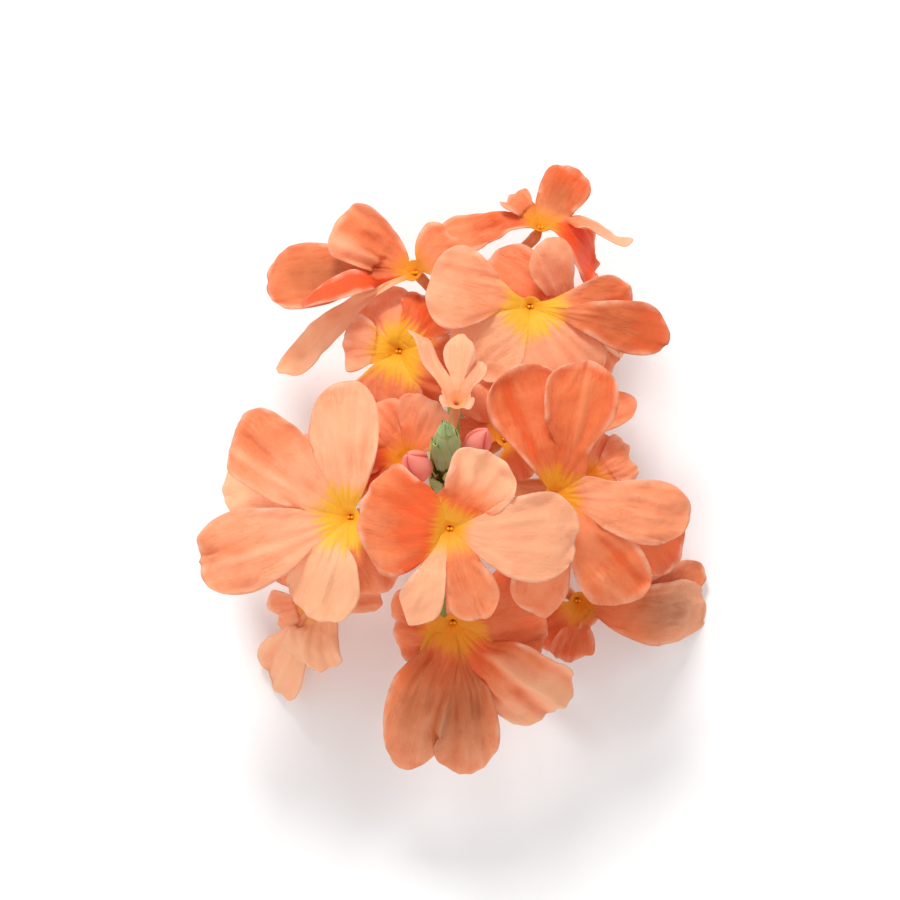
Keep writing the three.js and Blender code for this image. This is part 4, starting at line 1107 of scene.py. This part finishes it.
def pollen_finish():
    """Matt yellow with a fine pollen grain."""
    material, tree = empty_material("pollen")
    here = add(tree, "ShaderNodeTexCoord").outputs["Object"]
    grains = add(tree, "ShaderNodeTexNoise", {"Vector": here, "Scale": POLLEN_LUMPS_A_MM / MM})
    body = {0: grains, 6: shade("#f5a21c"), 7: shade("#f8bc30")}
    skin = {"Base Color": add(tree, "ShaderNodeMix", body, data_type="RGBA"), "Roughness": 0.95,
            "Specular IOR Level": 0.1}
    add(tree, "ShaderNodeOutputMaterial", {"Surface": add(tree, "ShaderNodeBsdfPrincipled", skin)})
    return material


def anther_tree(material):
    sizes = [("Length", "NodeSocketFloat", 0.001), ("Width", "NodeSocketFloat", 0.0007)]
    group = node_group("anther_pairs", sizes)
    given = add(group, "NodeGroupInput").outputs
    ball = add(group, "GeometryNodeMeshUVSphere", {"Segments": 20, "Rings": 12, "Radius": 0.5})
    ball = add(group, "GeometryNodeSetShadeSmooth", [ball])
    size = add(group, "ShaderNodeCombineXYZ", [given["Width"], given["Width"], given["Length"]])
    pair = add(group, "GeometryNodeJoinGeometry")
    for side in (-0.5, 0.5):
        shift = add(group, "ShaderNodeMath", [given["Width"], side], operation="MULTIPLY")
        aside = add(group, "ShaderNodeCombineXYZ", [shift])
        placed = add(group, "GeometryNodeTransform", {"Geometry": ball, "Translation": aside, "Scale": size})
        group.links.new(placed.outputs[0], pair.inputs[0])
    facing = add(group, "GeometryNodeInputNamedAttribute", {"Name": "facing"}, data_type="FLOAT_VECTOR")
    turn = add(group, "FunctionNodeAlignRotationToVector", {"Vector": facing}, axis="Z")
    copies = add(group, "GeometryNodeInstanceOnPoints", {
        "Points": given["Geometry"], "Instance": pair, "Rotation": turn})
    return end_group(group, copies, material)


anthers = run_nodes(throat_points(), anther_tree(pollen_finish()),
                    {"Length": ANTHER_LENGTH * MM, "Width": ANTHER_WIDTH * MM})
print("anthers' triangles:", triangles([anthers]))

# %% [markdown]
# ## Bract and stem greens
#
# Bracts and stem are ordinary green leaf tissue, waxy and finely nerved. The bracts are bluish
# green with yellow-green edges, and the stem a plainer green. Painting the nerves on by hand
# would fix them to one leaf, so they are read from a value that each bract's points carry: how
# far across the leaf they are. The stem's points have no such value, so it has no nerves.

# %% Green finish
LEAF_LUMPS_A_MM = 0.42
LEAF_NERVES = 7
LEAF_BUMP = 0.15 * MM


def green_finish(name, dark, light, edge_tint):
    material, tree = empty_material(name)
    here = add(tree, "ShaderNodeTexCoord").outputs["Object"]
    lumps = add(tree, "ShaderNodeTexNoise", {"Vector": here, "Scale": LEAF_LUMPS_A_MM / MM, "Detail": 3.0})
    across = add(tree, "ShaderNodeAttribute", attribute_name="bract_across").outputs["Fac"]
    nerves = add(tree, "ShaderNodeMath", [across, LEAF_NERVES * math.pi], operation="MULTIPLY")
    nerves = add(tree, "ShaderNodeMath", [nerves], operation="COSINE")
    nerves = add(tree, "ShaderNodeMapRange", [nerves, 0.2, 1.0, 0.0, 0.35])
    away = add(tree, "ShaderNodeMath", [across], operation="ABSOLUTE")
    margin = add(tree, "ShaderNodeMapRange", [away, 0.78, 1.0, 0.0, 0.85])
    body = shade(dark)
    for share, colour in ((lumps, light), (nerves, light), (margin, edge_tint)):
        body = add(tree, "ShaderNodeMix", {0: share, 6: body, 7: shade(colour)}, data_type="RGBA")
    bump = add(tree, "ShaderNodeBump", {"Height": lumps, "Strength": 0.4, "Distance": LEAF_BUMP})
    skin = add(tree, "ShaderNodeBsdfPrincipled", {
        "Base Color": body, "Roughness": 0.5, "Normal": bump, "Specular IOR Level": 0.4})
    add(tree, "ShaderNodeOutputMaterial", {"Surface": skin})
    return material


bract_green = green_finish("waxy_bract_leaf", "#74904a", "#a8c288", "#ccd058")
stem_green = green_finish("stem_skin", "#76823c", "#9aa154", "#9aa154")
print("green finishes:", bract_green.name, stem_green.name)

# %% [markdown]
# ## One bract
#
# Under the open flowers sits a spike of overlapping bracts, small pointed leaves that each hid a
# bud. A flat leaf bent by a modifier would not hug the spike, so the bract is bent from the
# start: its points are laid out by height and by angle round an upright spike. A keel runs down
# its back, and its tip flares out.

# %% One bract
BRACT_LENGTH = 10.0
BRACT_HALF_ANGLE = 62.0  # degrees of the spike that half a bract's width covers
BRACT_CLEARANCE = 0.25  # mm between the spike's core and a bract's foot
BRACT_BULGE = 0.8
BRACT_FLARE = 1.1
BRACT_HUG = 0.35  # mm by which its sides lie nearer to the core than its middle
BRACT_THICKNESS = 0.35
KEEL_HEIGHT = 0.22
KEEL_WIDTH = 0.09  # share of half the bract's width
NERVE_HEIGHT = 0.07
BRACT_ROWS, BRACT_COLUMNS = 30, 20


def bract_half_angle(u):
    """Half the angle that a bract takes, at a share u of its length, in radians."""
    taper = 1 - 0.55 * ease(u * 6 - 5)
    return math.radians(BRACT_HALF_ANGLE) * np.sin(math.pi * (0.25 + 0.72 * u)) * taper


def make_bract():
    """A bract on an upright spike, its foot at the origin and its back towards +X."""
    rows, columns = BRACT_ROWS, BRACT_COLUMNS
    u, v = np.meshgrid(np.linspace(0, 1, rows + 1), np.linspace(-1, 1, columns + 1), indexing="ij")
    back = SPIKE_CORE_RADIUS + BRACT_CLEARANCE + BRACT_BULGE * np.sin(math.pi * np.minimum(0.5, u))
    back = back + BRACT_FLARE * u ** 3 - BRACT_HUG * v * v
    back = back + KEEL_HEIGHT * np.exp(-((v / KEEL_WIDTH) ** 2)) * (1 - u)
    back = back + NERVE_HEIGHT * np.cos(v * math.pi * LEAF_NERVES) * (1 - v * v)
    turn = v * bract_half_angle(u)
    points = np.stack([back * np.cos(turn), back * np.sin(turn), u * BRACT_LENGTH], axis=-1).reshape(-1, 3)
    ids = np.arange((rows + 1) * (columns + 1)).reshape(rows + 1, columns + 1)
    corners = (ids[:-1, :-1], ids[:-1, 1:], ids[1:, 1:], ids[1:, :-1])
    faces = np.stack(corners, axis=-1).reshape(-1, 4)
    thing = mesh_object("one_bract", points + LAYOUT_CENTRE, faces,
                        {"bract_along": u.ravel(), "bract_across": v.ravel()})
    wall = thing.modifiers.new("thickness", "SOLIDIFY")
    wall.thickness = BRACT_THICKNESS * MM
    wall.offset = -1.0
    return settle(thing)


one_bract = make_bract()
print("one bract's triangles:", triangles([one_bract]))

# %% [markdown]
# ## Bracts in pairs
#
# Bracts grow in pairs, and each pair is turned a quarter from the one below. Thirty leaves
# placed by hand would be hard to change. Geometry Nodes sets the copies instead: the number of a
# bract gives its pair, the pair gives its height and its quarter turn, and the second bract of a
# pair stands opposite the first.

# %% Pairs of bracts up an upright spike
PAIR_SPACING = 5.4


def bract_pairs_tree(bract, material):
    sizes = [("Bracts", "NodeSocketInt", 12), ("Pair spacing", "NodeSocketFloat", 0.005)]
    group = node_group("bract_pairs", sizes)
    given = add(group, "NodeGroupInput").outputs
    points = add(group, "GeometryNodePoints", {"Count": given["Bracts"]})
    index = add(group, "GeometryNodeInputIndex")
    pair = add(group, "ShaderNodeMath", [index, 2.0], operation="DIVIDE")
    pair = add(group, "ShaderNodeMath", [pair], operation="FLOOR")
    height = add(group, "ShaderNodeMath", [pair, given["Pair spacing"]], operation="MULTIPLY")
    side = add(group, "ShaderNodeMath", [index, math.pi], operation="MULTIPLY")
    quarter = add(group, "ShaderNodeMath", [pair, math.pi / 2, math.pi / 4], operation="MULTIPLY_ADD")
    turn = add(group, "ShaderNodeMath", [side, quarter], operation="ADD")
    place = add(group, "ShaderNodeCombineXYZ", {"Z": height})
    placed = add(group, "GeometryNodeSetPosition", {"Geometry": points, "Position": place})
    leaf = add(group, "GeometryNodeObjectInfo", {"Object": bract}).outputs["Geometry"]
    copies = add(group, "GeometryNodeInstanceOnPoints", {
        "Points": placed, "Instance": leaf, "Rotation": add(group, "ShaderNodeCombineXYZ", {"Z": turn})})
    return end_group(group, copies, material)


pairs_tree = bract_pairs_tree(one_bract, bract_green)
print("inputs of the pairs' tree:", [item.name for item in pairs_tree.interface.items_tree])

# %% [markdown]
# ## The two spikes
#
# The tree gives an upright column of bracts. A real spike narrows to its top, where the bracts
# close over each other, and it leans. Bending it with a lattice would squash the leaves, so each
# point is moved by rule: nearer to the core the higher it stands, spread wider round it as it
# comes nearer, and then leaned to the spike's own axis.

# %% Spikes in their places
CLOSING_FROM, CLOSING_OVER = 0.72, 0.3  # shares of the spike's height
CLOSED_BY = 0.65  # share of a low bract's stand-off that is gone at the spike's tip


def core_radius(fraction):
    """The core's radius at a share of the spike's height."""
    return SPIKE_CORE_RADIUS * np.sqrt(np.maximum(0.02, 1 - fraction ** 3))


def closing(height):
    """How far bracts stand off the core: all the way low down, and a third of it at its tip."""
    return 1 - CLOSED_BY * ease((height - CLOSING_FROM) / CLOSING_OVER)


def mesh_points(mesh):
    """A mesh's points as an array, in the mesh's own metres."""
    places = np.zeros(len(mesh.vertices) * 3, np.float32)
    mesh.vertices.foreach_get("co", places)
    return places.reshape(-1, 3)


def make_spike(name):
    """A spike's bracts: upright from the tree, then narrowed and leaned."""
    foot, length, axis, right, up = spike_frame(name)
    pairs = int((length - BRACT_LENGTH * 0.8) / PAIR_SPACING) + 1
    thing = mesh_object("bracts_" + name, np.zeros((0, 3)), [])
    run_nodes(thing, pairs_tree, {"Bracts": 2 * pairs, "Pair spacing": PAIR_SPACING * MM})
    upright = mesh_points(thing.data) / MM
    height = upright[:, 2] / length
    spread = np.hypot(upright[:, 0], upright[:, 1])
    narrowed = core_radius(np.clip(height, 0, 1)) + (spread - SPIKE_CORE_RADIUS) * closing(height)
    u, v = (np.zeros(len(upright), np.float32) for _ in range(2))
    thing.data.attributes["bract_along"].data.foreach_get("value", u)
    thing.data.attributes["bract_across"].data.foreach_get("value", v)
    turn = np.arctan2(upright[:, 1], upright[:, 0]) + v * bract_half_angle(u) * (1 / closing(height) - 1)
    upright[:, :2] = np.stack([narrowed * np.cos(turn), narrowed * np.sin(turn)], axis=-1)
    leaned = foot + upright[:, :1] * right + upright[:, 1:2] * up + upright[:, 2:] * axis
    thing.data.vertices.foreach_set("co", to_metres(leaned).astype(np.float32).ravel())
    thing.data.update()
    return thing


spikes = {name: make_spike(name) for name in SPIKES}
bpy.data.objects.remove(one_bract)
print("bracts' triangles:", triangles(spikes.values()))

# %% [markdown]
# ## Stem
#
# The stem lies on the table and forks, and each branch ends in a spike. It could be a chain of
# cylinders, but a stem has no joints. So a curve through a few points gives its route, and
# Geometry Nodes sweeps a round section along it. Inside its spike the section swells and then
# closes, which gives the bracts a green core.

# %% Stem routes and sweep
STEM_RADIUS = 1.5
STEM_SIDES = 28
STEM_RINGS = 90
LOWEST_STEM = 0.02  # mm above the table
CORE_HEIGHTS = (0.3, 0.6, 0.85, 0.97)  # shares of the spike's length at which its core has a point
CORE_WIDTHS = [1.2, 1.35, 1.2, 0.85, 0.3]  # the stem's width at the spike's foot and those points
STEM_ROUTES = {
    "back": [(-1, -29, 1.4), (-0.6, -22, 1.4), (0, -14, 1.6), (0.6, -4, 1.45), (0.8, 8, 1.4), (1, 18, 1.7),
             (1.2, 24, 5), (1.5, 26.5, 12)],
    "front": [(-0.2, -18, 1.6), (-0.6, -15.5, 4), (-0.8, -13, 8.5), (-0.6, -10, 13.5), (-0.5, -8, 18)],
}


def sweep_tree(material):
    sizes = [("Radius", "NodeSocketFloat", STEM_RADIUS * MM), ("Sides", "NodeSocketInt", STEM_SIDES),
             ("Rings", "NodeSocketInt", STEM_RINGS)]
    group = node_group("stem_sweep", sizes)
    given = add(group, "NodeGroupInput").outputs
    even = add(group, "GeometryNodeResampleCurve", {"Curve": given["Geometry"], "Count": given["Rings"]})
    section = {"Radius": given["Radius"], "Resolution": given["Sides"]}
    section = add(group, "GeometryNodeCurvePrimitiveCircle", section)
    swept = {"Curve": even, "Profile Curve": section, "Fill Caps": True}
    return end_group(group, add(group, "GeometryNodeCurveToMesh", swept), material)


def make_curve(name, routes):
    """A curve with one smooth spline for each route, in mm of the layout, and its widths on the way."""
    curve = bpy.data.curves.new(name, "CURVE")
    curve.dimensions = "3D"
    for route, widths in routes:
        spline = curve.splines.new("NURBS")
        spline.points.add(len(route) - 1)
        for point, place, width in zip(spline.points, to_metres(route), widths):
            point.co = (*place, 1.0)
            point.radius = width
        spline.order_u = 4
        spline.use_endpoint_u = True
        spline.resolution_u = 16
    thing = bpy.data.objects.new(name, curve)
    bpy.context.scene.collection.objects.link(thing)
    return thing


def make_stem():
    """The forked stem with the cores of both spikes, as one swept mesh."""
    routes = []
    for spike, route in STEM_ROUTES.items():
        foot, length, axis, _, _ = spike_frame(spike)
        core = [foot + axis * length * share for share in CORE_HEIGHTS]
        widths = [1.0] * (len(route) - 1) + CORE_WIDTHS
        routes.append((list(route) + [tuple(point) for point in core], widths))
    path = make_curve("stem", routes)
    modifier = path.modifiers.new("sweep", "NODES")
    modifier.node_group = sweep_tree(stem_green)
    mesh = plain_mesh(path)
    bpy.data.objects.remove(path)
    places = mesh_points(mesh)
    places[:, 2] = np.maximum(places[:, 2], LOWEST_STEM * MM)
    mesh.vertices.foreach_set("co", places.ravel())
    mesh.shade_smooth()
    thing = bpy.data.objects.new("stem", mesh)
    bpy.context.scene.collection.objects.link(thing)
    return thing


stem = make_stem()
print("stem's triangles:", triangles([stem]))

# %% [markdown]
# ## Buds
#
# Two buds are still shut. Their petals are wound round each other like a rolled umbrella, so each shows
# three swollen backs and three grooves that turn a little on the way up. They could be modelled as three
# wrapped sheets, but only the outside can ever be seen: one closed body with grooves in it is enough. The
# tissue is pinker and smoother than an open petal, and it glows a little; down in the grooves the finish is
# painted a deeper red, as painted shade.

# %% Bud finish
def bud_finish():
    material, tree = empty_material("rolled_bud_petal")
    groove_shade = add(tree, "ShaderNodeAttribute", attribute_name="groove_shade").outputs["Fac"]
    # pink on the swollen backs, and a deeper red painted into the grooves as shade
    pinks = [(0.0, "#ffa595"), (0.5, "#f88f80"), (1.0, "#dc4c44")]
    body = add(tree, "ShaderNodeValToRGB", [groove_shade], stops=pinks)
    skin = {"Base Color": body, "Roughness": 0.5, "Specular IOR Level": 0.4}
    skin = add(tree, "ShaderNodeBsdfPrincipled", skin)
    through = add(tree, "ShaderNodeBsdfTranslucent", {"Color": body})
    both = add(tree, "ShaderNodeMixShader", [0.2, skin, through])
    add(tree, "ShaderNodeOutputMaterial", {"Surface": both})
    return material


bud_pink = bud_finish()
print("bud finish:", bud_pink.name)

# %% Buds
BUD_TURN = 0.8  # radians by which the grooves turn from foot to tip
BUD_ROWS, BUD_COLUMNS = 40, 80
PETAL_TIPS_LONGER = 0.05  # share of the bud's length by which its backs outreach its grooves
BUDS = {
    "bud_left": ((-5, -0.8, 37.8), (-7.4, 2.4, 43), 2.6),
    "bud_right": ((3.6, 3.2, 38), (6.2, 6.6, 43), 2.2),
}


def make_bud(name, foot, tip, radius, finish, fattest, petals, groove_depth):
    """A closed bud of petals or leaves wound round each other, from its foot to its tip."""
    foot, tip = np.array(foot, float), np.array(tip, float)
    axis = unit(tip - foot)
    right = unit(np.cross([0.0, 1.0, 0.0], axis))
    up = np.cross(axis, right)
    rows, columns = BUD_ROWS, BUD_COLUMNS
    angles = np.arange(columns) * 2 * math.pi / columns
    f, turn = np.meshgrid(np.linspace(0, 1, rows + 1), angles, indexing="ij")
    girth = radius * np.maximum(0.06, np.sin(math.pi * (fattest + (0.98 - fattest) * f)) ** 0.75)
    fold = np.abs(np.cos(petals / 2 * (turn + BUD_TURN * f)))
    radial = girth * (1 + groove_depth / 3 - groove_depth * (1 - fold) ** 3 * ease(f * 3))
    along = (f + PETAL_TIPS_LONGER * fold * ease(f * 4 - 3)) * np.linalg.norm(tip - foot)
    points = foot + radial[..., None] * (np.cos(turn)[..., None] * right + np.sin(turn)[..., None] * up)
    points = (points + along[..., None] * axis).reshape(-1, 3)
    ids = np.arange((rows + 1) * columns).reshape(rows + 1, columns)
    onward = np.roll(ids, -1, axis=1)
    faces = np.stack((ids[:-1], onward[:-1], onward[1:], ids[1:]), axis=-1).reshape(-1, 4).tolist()
    faces += [ids[0][::-1].tolist(), ids[-1].tolist()]
    thing = mesh_object(name, points, faces, {"groove_shade": ((1 - fold) ** 2).ravel()})
    thing.data.materials.append(finish)
    return thing


buds = {}
for title, sizes in BUDS.items():
    buds[title] = make_bud(title + "_petals", *sizes, bud_pink, fattest=0.16, petals=3, groove_depth=0.17)
print("buds' triangles:", triangles(buds.values()))

# %% [markdown]
# ## Youngest leaves
#
# At the very tip of a spike the bracts have not opened yet. They make a small green bud of four
# leaves, so the bud's rule serves again, with deeper grooves and in the bracts' green.

# %% Youngest leaves, still closed, at each spike's tip
TIP_FROM, TIP_TO = 0.66, 1.045  # shares of the spike's length
TIP_RADIUS = 2.35
closed_tips = []
for title in SPIKES:
    foot, length, axis, _, _ = spike_frame(title)
    low, high = (foot + share * length * axis for share in (TIP_FROM, TIP_TO))
    closed_tips.append(make_bud("closed_bracts_" + title, low, high, TIP_RADIUS, bract_green,
                                fattest=0.35, petals=4, groove_depth=0.22))
print("closed leaves' triangles:", triangles(closed_tips))

# %% [markdown]
# ## Bodies and the nodes that the pieces stand for
#
# A picked flower head has no moving joint, so every piece rides on the one body, root. Each hides the node
# of the solid model whose place it takes. The anthers stand for no node, so they only ride.

# %% Hand every piece to the frame
def hand_over(piece, node):
    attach(piece, "root")
    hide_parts(node)


for title, corolla in corollas.items():
    hand_over(corolla, "flower_" + title)
for piece in [stem, *spikes.values(), *closed_tips]:
    hand_over(piece, "sprig")
for title, bud in buds.items():
    hand_over(bud, title)
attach(anthers, "root")
print("pieces handed over:", len(corollas) + 1 + len(spikes) + len(closed_tips) + len(buds) + 1)

# %% [markdown]
# ## Table
#
# The head lies on a matt white board. A plain white plane would do, and a trace of mottle keeps
# it from looking like nothing at all.

# %% Table
TABLE_HALF = 4000  # mm, so that its edge is never in view
TABLE_LUMPS_A_MM = 0.03


def table_finish():
    material, tree = empty_material("matt_white_board")
    here = add(tree, "ShaderNodeTexCoord").outputs["Object"]
    mottle = add(tree, "ShaderNodeTexNoise", {"Vector": here, "Scale": TABLE_LUMPS_A_MM / MM})
    body = {0: mottle, 6: shade("#f6f6f6"), 7: shade("#fafafa")}
    skin = {"Base Color": add(tree, "ShaderNodeMix", body, data_type="RGBA"), "Roughness": 0.9}
    add(tree, "ShaderNodeOutputMaterial", {"Surface": add(tree, "ShaderNodeBsdfPrincipled", skin)})
    return material


table_corners = [(TABLE_HALF * x, TABLE_HALF * y, 0) for x, y in ((-1, -1), (1, -1), (1, 1), (-1, 1))]
table = mesh_object("table_top", table_corners, [(0, 1, 2, 3)])
table.data.materials.append(table_finish())
print("table, m:", [round(size, 2) for size in table.dimensions])

# %% [markdown]
# ## Light
#
# Outdoors in shade the sky lights petals from every side, and that is what keeps their colours
# clean. So the walls of the room give most of the light. A small soft lamp behind the head gives
# the shadow towards the viewer, and a weak one in front opens the shade on the near petals.

# %% Light
WALL_LIGHT = 0.76


def soft_light(name, place, aim, width, watts):
    data = bpy.data.lights.new(name, "AREA")
    data.shape = "DISK"
    data.size, data.energy = width, watts
    lamp = bpy.data.objects.new(name, data)
    lamp.location = place
    lamp.rotation_euler = (Vector(aim) - Vector(place)).to_track_quat("-Z", "Y").to_euler()
    bpy.context.scene.collection.objects.link(lamp)
    return lamp


head_middle = (0, 0, 0.02)
key = soft_light("key_softbox", (-0.2, 1.15, 1.1), head_middle, width=0.45, watts=18)
fill = soft_light("front_fill", (-0.7, -1.3, 0.8), head_middle, width=0.7, watts=5)
walls = bpy.data.worlds.new("studio_walls")
walls.use_nodes = True
background = walls.node_tree.nodes["Background"].inputs
background["Color"].default_value = (1, 1, 1, 1)
background["Strength"].default_value = WALL_LIGHT
bpy.context.scene.world = walls
bpy.context.scene.view_settings.view_transform = "Standard"
print("lamps, W:", key.data.energy, fill.data.energy)

# %% [markdown]
# ## Camera
#
# Flowers laid on a table are best seen from straight above. The camera hangs high with a long
# lens, so that near and far petals keep their true sizes beside each other.

# %% Camera
CAMERA_HEIGHT = 3.0
SEEN_WIDTH = 0.1579  # metres across the picture, at the middle of the head's height
MIDDLE_HEIGHT = 0.025
PICTURE_MIDDLE = (-0.00057, 0.00389)
SENSOR = 36
eye = bpy.data.cameras.new("overhead")
eye.sensor_width = SENSOR
eye.lens = SENSOR * (CAMERA_HEIGHT - MIDDLE_HEIGHT) / SEEN_WIDTH
camera = bpy.data.objects.new("overhead", eye)
camera.location = (*PICTURE_MIDDLE, CAMERA_HEIGHT)
bpy.context.scene.collection.objects.link(camera)
bpy.context.scene.camera = camera
print("lens, mm:", round(eye.lens))
